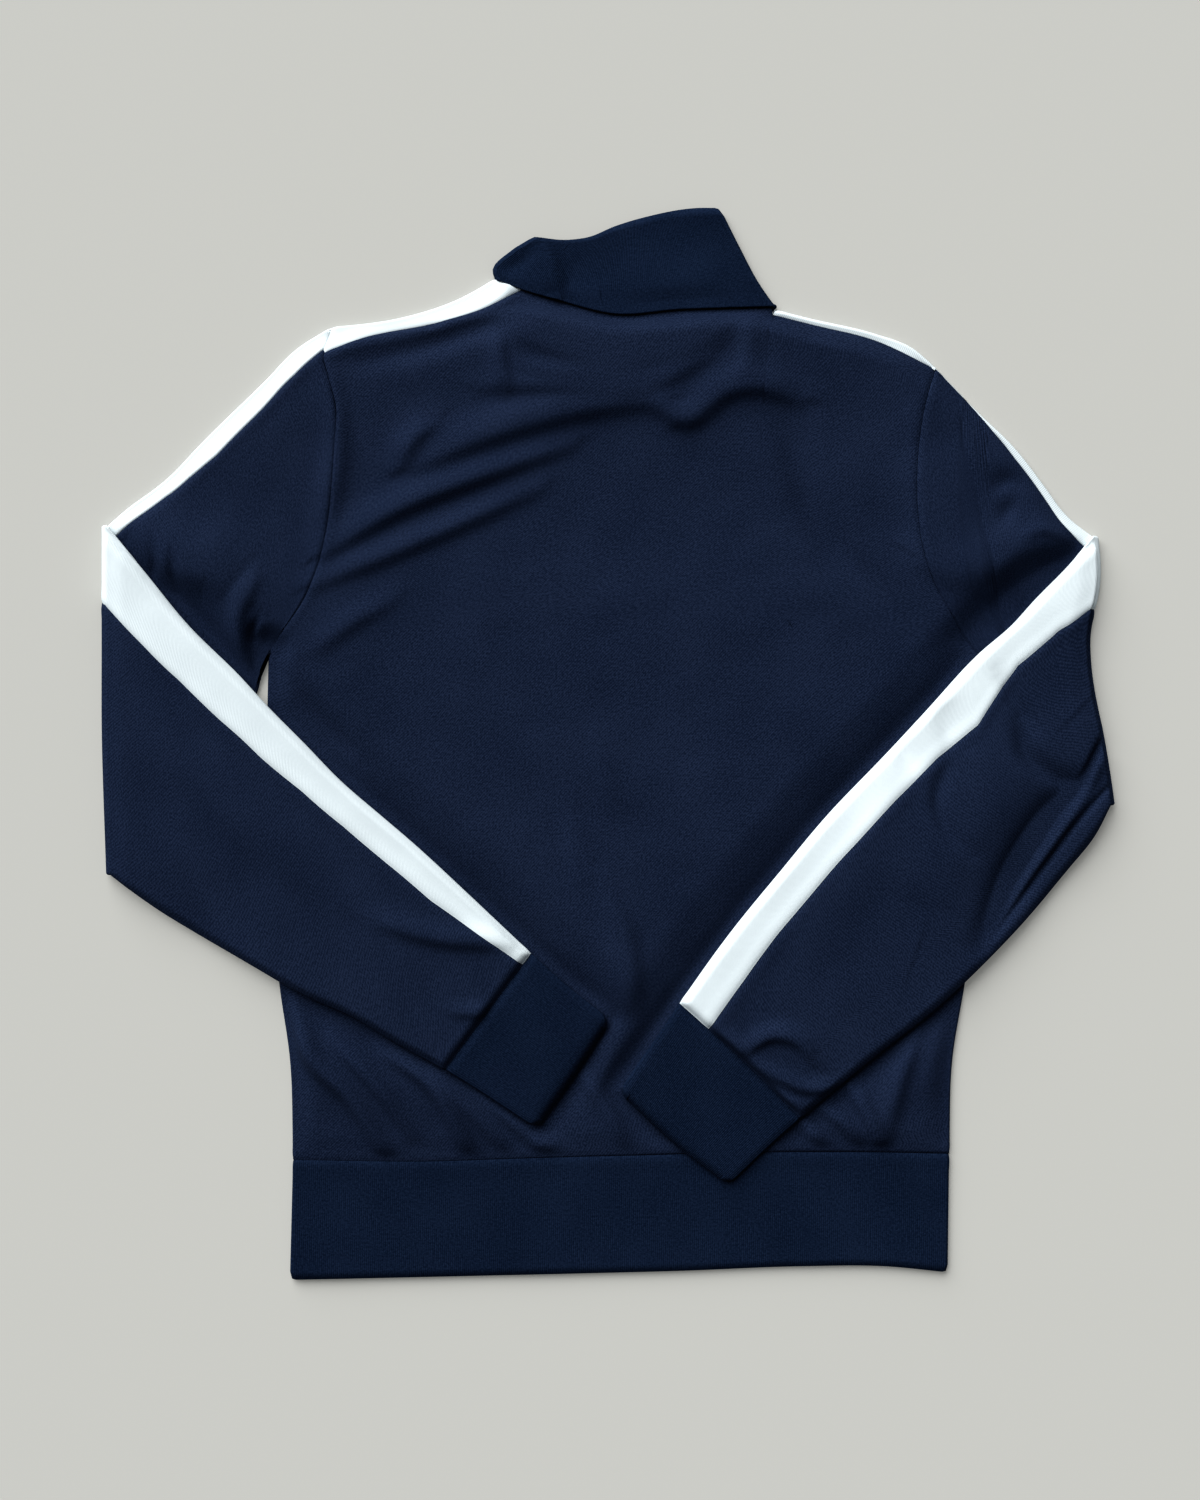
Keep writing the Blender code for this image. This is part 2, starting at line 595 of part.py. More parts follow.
def make_shoulder(name, materials, parent):
    """The white strip over a shoulder, turned round its fold."""
    radius = (HIGH - LOW) / 2
    edge = WALL / 2 + radius
    layers = ((-1, spread([-2, -1, 0], (2, TURN_STEPS))),
              (1, spread([0, 1, 2], (TURN_STEPS, 1))[1:]))
    grid = []
    for share in np.linspace(0, 1, 7):
        row = []
        where = 0.01 + 0.98 * share
        for layer, steps in layers:
            plan = strip_plan(name, layer)
            ends = patch(*plan, np.array([0.0, 1.0]), where)
            width = float(np.linalg.norm(ends[1] - ends[0]))
            flat = width - edge - SEAM / 2
            across, height = round_edge(steps, flat, (1, 1), WALL, LOW, HIGH)
            xy = patch(*plan, across / width, where)
            if layer > 0:
                height = height + lift(xy[:, 0], xy[:, 1])
            row += list(np.column_stack((xy, height)))
        grid.append(row)
    cloth(f"shoulder_stripe_{name}", np.array(grid), WALL, materials["white"], parent)


def open_band(name, back_plan, front_plan, rows, high, counts, materials, parent):
    """A rib band round the neck or the hem, flattened, and open at the centre front."""
    low = RIB_WALL / 2
    radius = (high - low) / 2
    edge = RIB_WALL / 2 + radius
    grid = []
    for share in rows:
        ends = patch(*front_plan, np.array([0.0, 1.0]), share)
        ahead = patch(*front_plan, np.array([0.0, 1.0]), share + (0.04 if share < 0.5 else -0.04))
        back_ends = patch(*back_plan, np.array([0.0, 1.0]), share)
        line = patch(*front_plan, np.linspace(0, 1, 801), share)
        middle = float(distance_to(CENTRE, line[:, 0], line[:, 1])[0].argmin()) / 800
        front_width = length(line)
        back_width = float(np.linalg.norm(back_ends[1] - back_ends[0]))
        section = back_ends[1] - back_ends[0]
        oblique = slant(section, ahead[0] - ends[0]), slant(section, ahead[1] - ends[1])
        flat = {1: back_width - sum(oblique) * edge, -1: front_width - sum(oblique) * edge}
        centre = 1 + (middle * front_width - oblique[0] * edge) / flat[-1]
        gap = ZIP_GAP / flat[-1]
        place = np.concatenate((spread([-centre + gap, -1, 0, 1, 2, 3], counts),
                                spread([-3, -2, -centre - gap], (counts[4], counts[0]))[1:]))
        row = []
        for step in place:
            layer = 1 if step > 0 else -1
            width = back_width if layer > 0 else front_width
            across, height = round_edge(np.array(step), flat[layer], oblique, RIB_WALL, low, high)
            xy = patch(*(back_plan if layer > 0 else front_plan), across / width, share)
            row.append((*xy, float(height)))
        grid.append(row)
    cloth(name, np.array(grid), RIB_WALL, materials["rib"], parent)


def make_collar(materials, parent):
    folds = COLLAR_LEFT, COLLAR_RIGHT
    back = ([(-74, 308), *NECK], COLLAR_EDGE, *folds)
    front = (FRONT_NECK, COLLAR_FRONT_EDGE, *folds)
    rows = 0.01, 0.25, 0.5, 0.75, 1.0
    open_band("collar", back, front, rows, COLLAR_HIGH, (5, 2, 2, 12, 2), materials, parent)


def make_hem(materials, parent):
    ends = [HEM[0], HEM_EDGE[0]], [HEM[-1], HEM_EDGE[-1]]
    plan = (HEM, HEM_EDGE, *ends)
    open_band("hem_rib", plan, plan, (0.0, 0.5, 1.0), HEM_HIGH, (6, 2, 2, 14, 2), materials, parent)


def make_zip(materials, parent):
    """Closed zip: tape inside the fronts, and the chain between their edges, as one bar."""
    hem, neck = CENTRE[1][1], CENTRE[2][1]
    narrow, wide, ribs_top = CHAIN_HALF + 0.2, TAPE_HALF, RIB_WALL - 0.1
    rows = [(CENTRE[0][1] + 1, narrow, ribs_top), (hem + 2, narrow, ribs_top), (hem + 8, wide, TAPE_TOP),
            (neck - 8, wide, TAPE_TOP), (neck - 2, narrow, ribs_top), (CENTRE[3][1] - 14, narrow, ribs_top)]
    points, faces = [], []
    for y, half, top in rows:
        x = float(np.interp(y, [c[1] for c in CENTRE], [c[0] for c in CENTRE]))
        section = ((-half, TAPE_BOTTOM), (-CHAIN_HALF, TAPE_BOTTOM), (-CHAIN_HALF, CHAIN_BOTTOM),
                   (CHAIN_HALF, CHAIN_BOTTOM), (CHAIN_HALF, TAPE_BOTTOM), (half, TAPE_BOTTOM),
                   (half, top), (-half, top))
        points += [((x + dx) * MM, y * MM, z * MM) for dx, z in section]
    count = len(section)
    for i in range(len(rows) - 1):
        for j in range(count):
            a, b = i * count + j, i * count + (j + 1) % count
            faces.append((a, a + count, b + count, b))
    faces.append(tuple(range(count)))
    faces.append(tuple(range((len(rows) - 1) * count, len(rows) * count))[::-1])
    solid("zip", points, faces, materials["zip"], parent)


def make_slider(materials, parent):
    """Slider at the top of the closed zip, tapering towards the chain below it."""
    wide, narrow, run, rise = SLIDER
    x, top = CENTRE[3][0], CENTRE[3][1] - 2
    plan = ((x - wide / 2, top), (x - wide / 2, top - run / 2), (x - narrow / 2, top - run),
            (x + narrow / 2, top - run), (x + wide / 2, top - run / 2), (x + wide / 2, top))
    points = [(px * MM, py * MM, z * MM) for z in (CHAIN_BOTTOM, CHAIN_BOTTOM + rise) for px, py in plan]
    count = len(plan)
    faces = [(j, (j + 1) % count, count + (j + 1) % count, count + j) for j in range(count)]
    faces += [tuple(range(count))[::-1], tuple(range(count, 2 * count))]
    piece = solid("zip_slider", points, faces, materials["zip"], parent)
    rounding = piece.modifiers.new("rounding", "BEVEL")
    rounding.width = 0.5 * MM
    rounding.segments = 2


def make_materials():
    colours = {
        "navy": ((0.010, 0.014, 0.036), 0.85),
        "rib": ((0.008, 0.014, 0.030), 0.9),
        "white": ((0.80, 0.85, 0.87), 0.8),
        "zip": ((0.012, 0.014, 0.022), 0.5),
    }
    made = {}
    for name, (colour, roughness) in colours.items():
        material = bpy.data.materials.new(name)
        material.use_nodes = True
        shader = material.node_tree.nodes["Principled BSDF"]
        shader.inputs["Base Color"].default_value = (*colour, 1.0)
        shader.inputs["Roughness"].default_value = roughness
        shader.inputs["Metallic"].default_value = 0.0
        made[name] = material
    return made


def main():
    for old in list(bpy.data.objects):
        bpy.data.objects.remove(old)
    collection = bpy.data.collections.new("track jacket")
    bpy.context.scene.collection.children.link(collection)
    parent = bpy.data.objects.new("jacket", None)
    parent.location = CENTRING[0] * MM, CENTRING[1] * MM, 0.0
    collection.objects.link(parent)
    materials = make_materials()
    make_back(materials, parent)
    make_collar(materials, parent)
    make_hem(materials, parent)
    make_zip(materials, parent)
    make_slider(materials, parent)
    for name in SIDES:
        make_front(name, materials, parent)
        make_shoulder(name, materials, parent)
        make_sleeve(name, materials, parent)
        make_cuff(name, materials, parent)


main()
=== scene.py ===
"""Finished look of a track jacket that lies flat, back up, with its sleeves folded over it.

Each cloth piece is a thin shell on its solid's form, on a finer grid and with its folds, tucked
seams and knit. Sizes are in millimetres until a piece is made; X runs to the wearer's right,
Y from hem to collar and Z up.
"""

import math

import bpy
import numpy as np
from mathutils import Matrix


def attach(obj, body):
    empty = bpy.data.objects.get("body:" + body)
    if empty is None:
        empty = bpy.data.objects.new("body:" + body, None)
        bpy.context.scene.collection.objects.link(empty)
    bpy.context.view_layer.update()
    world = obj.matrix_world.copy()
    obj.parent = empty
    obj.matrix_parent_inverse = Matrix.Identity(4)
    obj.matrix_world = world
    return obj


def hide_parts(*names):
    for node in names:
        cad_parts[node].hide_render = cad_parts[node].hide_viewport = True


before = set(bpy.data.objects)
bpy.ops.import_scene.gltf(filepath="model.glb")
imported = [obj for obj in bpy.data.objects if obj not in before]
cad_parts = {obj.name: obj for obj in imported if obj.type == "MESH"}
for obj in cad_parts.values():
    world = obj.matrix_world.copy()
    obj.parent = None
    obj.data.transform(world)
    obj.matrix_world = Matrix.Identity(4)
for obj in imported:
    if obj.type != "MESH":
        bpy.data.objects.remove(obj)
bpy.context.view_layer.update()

MM = 0.001
TINY = 1e-9  # keeps divisions and logarithms away from nothing
CENTRING = (-0.335, -0.693)  # from the tables' own origin to the frame's

# Cloth and the heights of its layers
WALL = 1.2  # room that body and sleeve knit takes up
KNIT = 0.8  # the knit itself
RIB_WALL = 1.8  # room that doubled rib knit takes up
RIB_KNIT = 1.2  # the rib knit itself
SEAM = 0.1  # gap between neighbouring pieces
EDGE_SEAM = 0.3  # the same between the middles of two pieces that meet on a turned edge
LOW = WALL / 2  # middle of the layer on the ground
HIGH = 3.3  # middle of the layer above it, where it is pressed down
FOLD_AXIS = 4.1  # height of the line that a sleeve folds round
CUFF_LOW = 3.0  # cuff layers, given as heights in the sleeve before it is folded over
CUFF_HIGH = 0.8
CUFF_RUN = 0.2  # share of a forearm over which its layers come to those heights
COLLAR_HIGH = 4.4
HEM_HIGH = 3.0
STRIPE = 47.0  # whole width of a white strip
ZIP_GAP = 3.5  # from the centre line to a front's edge
SIDE_RUN = 14.0  # how far a side seam's edge takes to turn down, below the armhole
CUFF_CORNER = 8.0  # radii of the corners, flat
BAND_CORNER = 5.0
COLLAR_SIZE = (175, 60)  # about how wide and tall the bands are
HEM_SIZE = (430, 76)

# Sleeves
END_GAP = 0.0005  # share of its length that a sleeve or a shoulder strip stands off at its ends
START_RUN = 1 / 6  # share of a sleeve over which it comes back to its place after that
SLEEVE_FADE = 2.5  # how fast the shapes of the armhole and the crease die away along a sleeve
SLANT_REACH = 0.12  # share of an edge's length before and behind a section that gives its heading
MOST_SLANT = 2.0  # how much longer than square a cut across an edge may be
UNDER_END = 0.95  # share of a forearm's under edge at which its outline joins the cuff's
SLEEVE_TURN = {"up": 1, "down": -1}  # which side of the wearer's right sleeve's edge is its inside

# Relief
LOFT = 6.0  # how far the loose back stands off, between folds
ARM_LOFT = 3.5  # the same on top of a forearm, on a cuff, and on the two bands
CUFF_LOFT = 1.2
COLLAR_LOFT = 0.6
BAND_LOFT = 0.5
SWELL = 3.0  # how much more the back stands off, below what height, and over what run
SWELL_FROM = 170.0
SWELL_RUN = 90.0
TALLEST = 14.0  # about the most that the relief of the back and of a forearm reaches
ARM_TALLEST = 8.8
SUNK = -0.7  # how low a hollow reaches, from where the cloth is pressed down
HELD_BLEND = 3.0  # how softly the ground near one edge or seam passes into the next one's
HELD_REST = 2.0  # how far from an edge or a seam the cloth stays pressed down
HELD_RUN = 15.0  # how far it then takes to come loose
CREASE_RUN = 8.0  # how far the folds then take to reach their height
ARM_RUN = 5.5  # how far all of it takes on a forearm and a cuff
HEM_LOFT = 0.15  # share of its loft that the back has at the hem, and how far up it has it all
HEM_RUN = 110.0
PRESSED = 0.2  # share of the relief that is left under a forearm
PRESS_RUN = 36.0  # how far from a forearm the loft takes to come back
FOLD_RUN = 5.0  # how far from a forearm the folds take to come back
SINK = 2.4  # how much lower the cloth lies beside a forearm, how far off, and how widely
SINK_FROM = 5.0
SINK_REACH = 6.0
BACK_WAVES = ((0.7, 75, 1), (0.35, 31, 2), (0.14, 13, 7))  # unevenness: heights, widths and seeds
ARM_WAVES = ((0.5, 60, 3), (0.25, 26, 4))
COLLAR_WAVES = ((0.35, 40, 5),)
HEM_WAVES = ((0.4, 55, 6),)
FOLD_MARGIN = 2.6  # widths of a fold beyond which it isn't felt
FOLD_END = 0.06  # share of the half wave that a fold fades by which is left out at each end
FOLD_BLUNT = 0.7  # power of that wave: the smaller, the later a fold fades
LAP = 0.9  # how far an edge runs on under its neighbour at a seam
DROP = 0.7  # how much deeper it lies there, and over what distance it gets there
DROP_REACH = 0.3
TUCK_DEPTH = 0.55  # how far both edges turn in at a seam, and over what distance
TUCK_REACH = 1.5
SHOWN_FROM = -0.5  # rise of a normal from which on the cloth shows, and its seams are tucked in
PUFF_HEIGHT = 0.3  # how far a panel swells beside a seam, how far off, and over what distance
HEM_PUFF = 0.25
PUFF_FROM = 5.0
PUFF_REACH = 3.5
RIB_PITCH = 1.35  # from one rib to the next
RIB_HEIGHT = 0.13  # from the middle of the rib knit to the top of a rib

# Grid steps
FINE = 2.5  # on what shows
COARSE = 9.0  # on what lies against the ground
RIB_ROWS = 5.0  # along the ribs
RIB_COLUMNS = 4  # to one rib
NEAR_SEAM = (0.0, 0.5, 1.2, 2.1, 3.2, 4.6, 6.4)  # distances of the lines beside a seam
TURN_STEPS = 5  # round a quarter of an edge
TURN_SHARE = 0.6  # how much of a white strip's back goes into the turned edge where it is narrow
FOLD_STEP = 15  # degrees, round the fold at an elbow
CUFF_STEPS = 40  # across a cuff's hidden layer, and across each half of a band's
COLLAR_STEPS = 20
HEM_STEPS = 30
SLEEVE_STRIP = (40, 25)  # front and back widths that the steps across a white strip are made for
SHOULDER_STRIP = (35, 12)
BACK_TOP = (50, 58, 42)  # points along a shoulder, the neck and the other shoulder
FRONT_TOP = (7, 6)  # points along a shoulder and the neck
NECK_SPAN = (0.01, 0.985)  # shares of the neck between which the back's top edge follows it
BAND_SEARCH = 800  # across a band's front, to find its centre
BAND_AHEAD = 0.04  # share of a band's height that gives the heading of its ends

# Light, floor and camera; lengths in metres
KEY_STRENGTH = 3.9
KEY_SPREAD = 66.0  # degrees across the soft key light
KEY_ELEVATION = 35.0  # degrees above the ground
KEY_BEARING = -149.0  # degrees; 180 shines from the collar towards the hem
AMBIENT = 0.15
SKY_COLOUR = (0.92, 0.96, 1.0)
FLOOR_SIZE = 8.0
FLOOR_DROP = 0.0003  # how far below the cloth the floor lies
FLOOR_COLOUR = (0.535, 0.535, 0.508)
FLOOR_PAINTED_FILL = 0.28  # share of the floor's tone that it keeps in a shadow: the floor glows by that share, painted fill light that stands for a pale room's light
FLOOR_LIGHT = 0.87  # light that falls on the floor in all
SHEEN = 0.06  # specular level of every look
PATCHES = 0.8  # how much broad soft patches show in a knit's tone
CAMERA_HEIGHT = 1.6  # above the ground
VIEW_HEIGHT = 0.004  # height of the cloth, at which the picture's long side is VIEW_LENGTH
VIEW_LENGTH = 0.990
VIEW_CENTRE = (-0.0053, -0.0040)

# Outlines seen from above, as (x, y)
NECK = [(-56, 301), (-32, 294), (6, 285), (46, 288), (74, 289), (111, 290)]
HEM = [(-208, -274), (-117, -275), (-53, -273), (21, -271), (104, -269), (168, -269), (226, -270)]
HEM_EDGE = [(-210, -353), (-117, -351), (-29, -349), (49, -347), (128, -344), (184, -344), (225, -348)]
FRONT_NECK = [(-74, 308), (-45, 264), (-12, 238), (27, 229), (61, 238), (91, 261), (111, 290)]
COLLAR_EDGE = [(-51, 335), (-27, 333), (-12, 335), (5, 342), (25, 348), (59, 354), (75, 354)]
COLLAR_FRONT_EDGE = [(-51, 335), (-33, 311), (-6, 297), (27, 293), (50, 300), (64, 322), (75, 354)]
COLLAR_LEFT = [(-74, 308), (-76, 313), (-64, 327), (-51, 335)]
COLLAR_RIGHT = [(111, 290), (101, 304), (88, 328), (75, 354)]
CENTRE = [(20, -347), (21, -272), (27, 229), (27, 292)]  # the zip, from the hem's edge to the collar's

# One side of the jacket each: side is -1 for the wearer's left
SIDES = {
    "left": {
        "side": -1,
        "shoulder": [(-74, 308), (-100, 294), (-138, 282), (-182, 276)],
        "armhole": [(-182, 276), (-187, 258), (-183, 241), (-178, 220), (-179, 202), (-181, 172),
            (-184, 145), (-190, 119), (-198, 99), (-209, 82), (-224, 63)],
        "side_seam": [(-208, -274), (-210, -208), (-217, -158), (-223, -69), (-225, 16), (-224, 63)],
        "stripe_edge_up": [(-182, 276), (-204, 263), (-227, 240), (-268, 200), (-291, 176), (-320, 154),
            (-334, 145)],
        "underarm_up": [(-224, 63), (-226.5, 60), (-228, 51), (-230, 38), (-243, 14), (-269, -13),
            (-302, -53), (-331, -86)],
        "crease": [(-334, 145), (-334, 61), (-334, 16), (-331, -86)],
        "stripe_edge_down": [(-334, 145), (-301, 110), (-275, 78), (-242, 46), (-225, 27), (-197, -1),
            (-176, -23), (-148, -47), (-127, -65), (-86, -103), (-50, -137)],
        "underarm_down": [(-331, -86), (-303, -104), (-235, -145), (-198, -166), (-167, -180), (-139, -197),
            (-107, -214)],
        "cuff_seam": [(-50, -137), (-107, -214)],
        "cuff_top": [(-50, -137), (-25, -159), (2, -180)],
        "cuff_under": [(-107, -214), (-80, -231), (-47, -253)],
        "cuff_edge": [(2, -180), (-21, -216), (-47, -253)],
        "shoulder_inner": [(-56, 301), (-78, 289), (-110, 279), (-162, 268), (-187, 258)],
        "shoulder_white": 13.0,
        "back_white": 21.0,
        # widths of white on the sleeve's back, evenly from armhole to elbow and from elbow to cuff
        "white_up": (11.4, 14.0, 13.0, 13.5, 14.3, 11.4, 9.4, 9.5, 10.0),
        "white_down": (12.7, 15.9, 18.2, 18.4, 20, 24, 25.7, 25.6, 26.8, 32, 37.5),
    },
    "right": {
        "side": 1,
        "shoulder": [(111, 287), (136, 281), (177, 271.5), (200, 263), (217, 249)],
        "armhole": [(217, 249), (210, 229), (205, 201), (203, 174), (204, 148), (207, 128), (214, 107),
            (225, 88), (235, 72), (250, 53)],
        "side_seam": [(226, -270), (228, -208), (237, -153), (247, -69), (250, 3), (250, 53)],
        "stripe_edge_up": [(217, 249), (247, 218), (270, 195), (288, 172), (304, 151), (324, 138)],
        "underarm_up": [(250, 53), (262, 44), (285, 20), (309, -8), (335, -40)],
        "crease": [(324, 138), (325.5, 123), (324, 97), (320, 82), (319, 60), (321, 40), (328, 5), (332, -19),
            (335, -40)],
        "stripe_edge_down": [(324, 138), (306, 121), (280, 95), (266, 79), (245, 61), (207, 20), (179, -10),
            (148, -42), (111, -86), (80, -124), (47, -170)],
        "underarm_down": [(335, -40), (321, -60), (306, -79), (289, -100), (257, -135), (215, -175),
            (177, -205), (127, -246)],
        "cuff_seam": [(47, -170), (85, -204), (127, -246)],
        "cuff_top": [(47, -170), (27, -199), (7, -228)],
        "cuff_under": [(127, -246), (104, -267), (80, -290)],
        "cuff_edge": [(7, -228), (41, -260), (80, -290)],
        "shoulder_inner": [(109, 284), (135, 277.5), (180, 265.7), (198, 257.4), (216, 248)],
        "shoulder_white": 3.2,
        "back_white": 2.6,
        "white_up": (0.2, 0.3, 0.9, 2.7, 4.4, 4.5, 5.5, 6.9, 10.0),
        "white_down": (11.5, 22, 25, 13.8, 20.5, 21.5, 20.7, 21.5, 22, 21, 21.3),
    },
}

# Folds as ridges: crest, how wide the gentle side is, on the left as it runs, and the steep side, on the
# right, and height. One with a height below zero is a hollow.
BACK_FOLDS = [
    # across the top of the back
    ([(-66, 236), (-70, 252), (-72, 268)], 7, 4.5, 4.3),
    ([(-56, 270), (-12, 256), (40, 260), (74, 273)], 14, 7, 7),
    ([(-104, 276), (-54, 282), (-14, 276), (36, 272), (84, 276), (124, 268)], 6, 44, 6.5),
    ([(-60, 250), (-20, 243), (20, 246)], 7, 4, 3.0),
    ([(-84, 236), (-33, 237), (31, 239), (66, 256)], 10, 5.5, 5.5),
    ([(-126, 184), (-70, 206), (-12, 222), (34, 227)], 15, 7, 8.2),
    ([(28, 226), (52, 214), (66, 217)], 9, 5.5, 5.8),
    ([(52, 214), (89, 236), (126, 228)], 13, 5.5, 7),
    ([(-136, 186), (-128, 200), (-114, 212)], 10, 5.5, 4.9),
    ([(-166, 252), (-108, 266), (-56, 284)], 10, 8, -5.2),
    ([(93, 280), (92, 256), (88, 232)], 8, 6, 2.6),
    ([(46, 290), (52, 284), (58, 279)], 3, 2.3, 2.6),
    ([(57, 282), (66, 280), (76, 281)], 4, 2.2, 2.3),
    # diagonals from under the left arm
    ([(-187, 126), (-139, 154), (-65, 183), (-24, 198)], 12, 5.5, 7.2),
    ([(-194, 105), (-144, 125), (-91, 148), (-44, 170)], 10, 5.5, 5.2),
    ([(-192, 62), (-168, 80), (-140, 96)], 9, 5.5, 3.2),
    ([(-205, 36), (-188, 14), (-166, -10)], 9, 7, -3.4),
    ([(-188, 138), (-178, 200), (-186, 244)], 9, 8.5, 4.9),
    # down the right side of the back
    ([(120, 226), (128, 175), (147, 133), (179, 96), (202, 60)], 14, 12.5, -4.9),
    # middle of the back
    ([(-8, 4), (-2, -18), (5, -40)], 8, 5, 1.3),
    ([(-27, -44), (-22, -72), (-16, -104)], 10, 5, 1.8),
    ([(-5, -208), (13, -168), (12, -129), (-5, -89)], 16, 7, 5.8),
    # above the hem
    ([(-212, -166), (-196, -206), (-172, -230), (-144, -274)], 8, 4.5, 8.2),
    ([(-180, -196), (-158, -218), (-130, -256)], 7, 4.5, 6.2),
    ([(-146, -202), (-118, -222), (-92, -268)], 9, 4.5, 9),
    ([(-114, -214), (-92, -238), (-68, -266)], 6, 4, 6.4),
    ([(-96, -222), (-66, -246), (-32, -274)], 8, 4.5, 7),
    ([(-20, -214), (-2, -238), (10, -262)], 7, 4, 4.2),
    ([(120, -240), (132, -252), (146, -268)], 5, 4, 4.6),
    ([(138, -236), (154, -248), (168, -264)], 6, 4, 5.4),
    ([(158, -220), (170, -242), (182, -268)], 7, 4.5, 7),
    ([(184, -256), (192, -222), (206, -184)], 9, 5, 5),
    # the left upper arm, hollow beside the forearm and gathered under the arm
    ([(-326, 130), (-296, 100), (-268, 74), (-247, 52)], 10, 9, -4),
    ([(-316, 138), (-298, 124), (-280, 117), (-262, 116), (-246, 104)], 26, 15, 9),
    ([(-300, 136), (-298, 120), (-302, 108)], 4, 3, -2.4),
    ([(-286, 126), (-285, 110), (-280, 98)], 5, 3, -3.4),
    ([(-234, 48), (-241, 62), (-242, 86), (-231, 110)], 7, 4.5, 5.2),
    ([(-232, 66), (-234, 74), (-230, 82)], 3, 2.3, -4.9),
    # the right upper arm, swollen above the forearm and sunk beside it
    ([(208, 122), (226, 114), (248, 116), (268, 127), (290, 132), (308, 131)], 18, 9, 7),
    ([(202, 196), (212, 152), (220, 116)], 44, 16, 4),
    ([(306, 120), (276, 104), (248, 86), (226, 64)], 15, 11, -8),
    ([(272, 136), (284, 141), (294, 139), (303, 132)], 3, 2.3, 2.3),
    ([(258, 146), (264, 154), (268, 160)], 6, 4, -2.6),
    ([(252, 168), (266, 174), (276, 171)], 7, 4.5, -3.2),
]
ARM_FOLDS = {
    "left": [
        ([(-150, -116), (-110, -127), (-66, -130)], 9, 5.5, 4.6),
        ([(-102, -175), (-84, -176), (-64, -178)], 6, 4, 2.9),
        ([(-296, 10), (-240, -50), (-180, -102)], 22, 14, 2.9),
    ],
    "right": [
        ([(72, -189), (84, -197), (92, -210)], 5, 3, 3.0),
        ([(92, -200), (108, -191), (125, -195), (135, -207)], 7, 3.5, 5.6),
        ([(98, -210), (114, -219), (132, -226), (148, -225)], 5, 3.5, 4.6),
        ([(100, -224), (114, -232), (128, -238)], 4, 3, 3.6),
        # the tuck at the elbow: a slit, the hollows that run into it and the roll outside them
        ([(327, 8), (319, -8), (313, -21), (304, -36)], 3, 2.2, -6),
        ([(270, 14), (274, -5), (286, -17), (308, -28)], 8, 6, -5.2),
        ([(312, -26), (290, -46), (278, -64), (264, -88), (254, -112), (246, -130)], 11, 10, -9),
        ([(212, -108), (224, -74), (242, -46), (264, -22), (288, 2)], 40, 22, 5.5),
        ([(222, -14), (216, -38), (224, -58), (238, -72)], 6, 5, -3.5),
        ([(256, 48), (268, 28), (280, 12)], 6, 5, -3),
        ([(188, 16), (194, -4), (206, -22)], 12, 8, -3.6),
        ([(325, -9), (314, -31), (295, -60), (272, -95), (255, -126)], 4, 4, 3.8),
        ([(330, -27), (309, -50), (286, -81), (254, -127)], 2, 2.2, -4.3),
        ([(216, 26), (224, 8), (228, -10)], 14, 8, -2.9),
        ([(200, 30), (180, -50), (130, -130)], 22, 15.5, 2.3),
    ],
}
COLLAR_FOLDS = [
    ([(-32, 300), (-36, 314), (-42, 331)], 13, 5, 4.4),
    ([(-70, 312), (-58, 318), (-48, 328)], 5, 5, -1.6),
    ([(-24, 299), (-23, 308), (-26, 322)], 6, 14, -1.4),
    ([(10, 298), (46, 301), (80, 303)], 30, 3, 2.2),
]
# Where a forearm sags towards the ground beside the body: centre, reach, depth
ARM_SAG = {
    "left": ((-269, -119), 30, 2.6),
    "right": ((288, -90), 24, 2.6),
}


def along(points, share):
    """Points at the given shares of the length of a smooth curve through a table's points."""
    knots = np.array(points, float)
    steps = np.linalg.norm(np.diff(knots, axis=0), axis=1)
    station = np.concatenate(([0.0], np.cumsum(steps)))
    slopes = np.gradient(knots, station, axis=0)
    place = np.asarray(share, float) * station[-1]
    span = np.clip(np.searchsorted(station, place, side="right") - 1, 0, len(steps) - 1)
    run = steps[span][..., None]
    t = ((place - station[span])[..., None]) / run
    start, end = knots[span], knots[span + 1]
    leave, arrive = slopes[span] * run, slopes[span + 1] * run
    return ((2 * t**3 - 3 * t**2 + 1) * start + (t**3 - 2 * t**2 + t) * leave
            + (3 * t**2 - 2 * t**3) * end + (t**3 - t**2) * arrive)


def length(points):
    return float(np.linalg.norm(np.diff(np.array(points, float), axis=0), axis=1).sum())


def stretch(points, first=0, last=1, count=12):
    """The part of a curve between two shares of its length, as a line of points."""
    return along(points, np.linspace(first, last, count))


def unit(vectors):
    return vectors / np.maximum(np.linalg.norm(vectors, axis=-1, keepdims=True), TINY)


def inset(points, distance):
    """A curve moved sideways in plan, to its right as it runs."""
    route = stretch(points)
    heading = unit(np.gradient(route, axis=0))
    return route + distance * np.stack((heading[:, 1], -heading[:, 0]), axis=1)


def patch(near, far, first, last, across, up, fade=1.0):
    """Plan points of a four-sided patch between four curves that meet at its corners.

    fade is how fast the shapes of the near and far curves die away towards the middle.
    """
    u, v = np.broadcast_arrays(np.asarray(across, float), np.asarray(up, float))
    u, v = u[..., None], v[..., None]

    def bow(curve):
        return along(curve, u[..., 0]) - (1 - u) * along(curve, 0.0) - u * along(curve, 1.0)

    return ((1 - u) * along(first, v[..., 0]) + u * along(last, v[..., 0])
            + (1 - v)**fade * bow(near) + v**fade * bow(far))


def patch_ends(plan, up, fade=1.0):
    """Both ends of a line across a patch, and how far apart they are."""
    ends = patch(*plan, np.array([0.0, 1.0]), up, fade)
    return ends, float(np.linalg.norm(ends[1] - ends[0]))


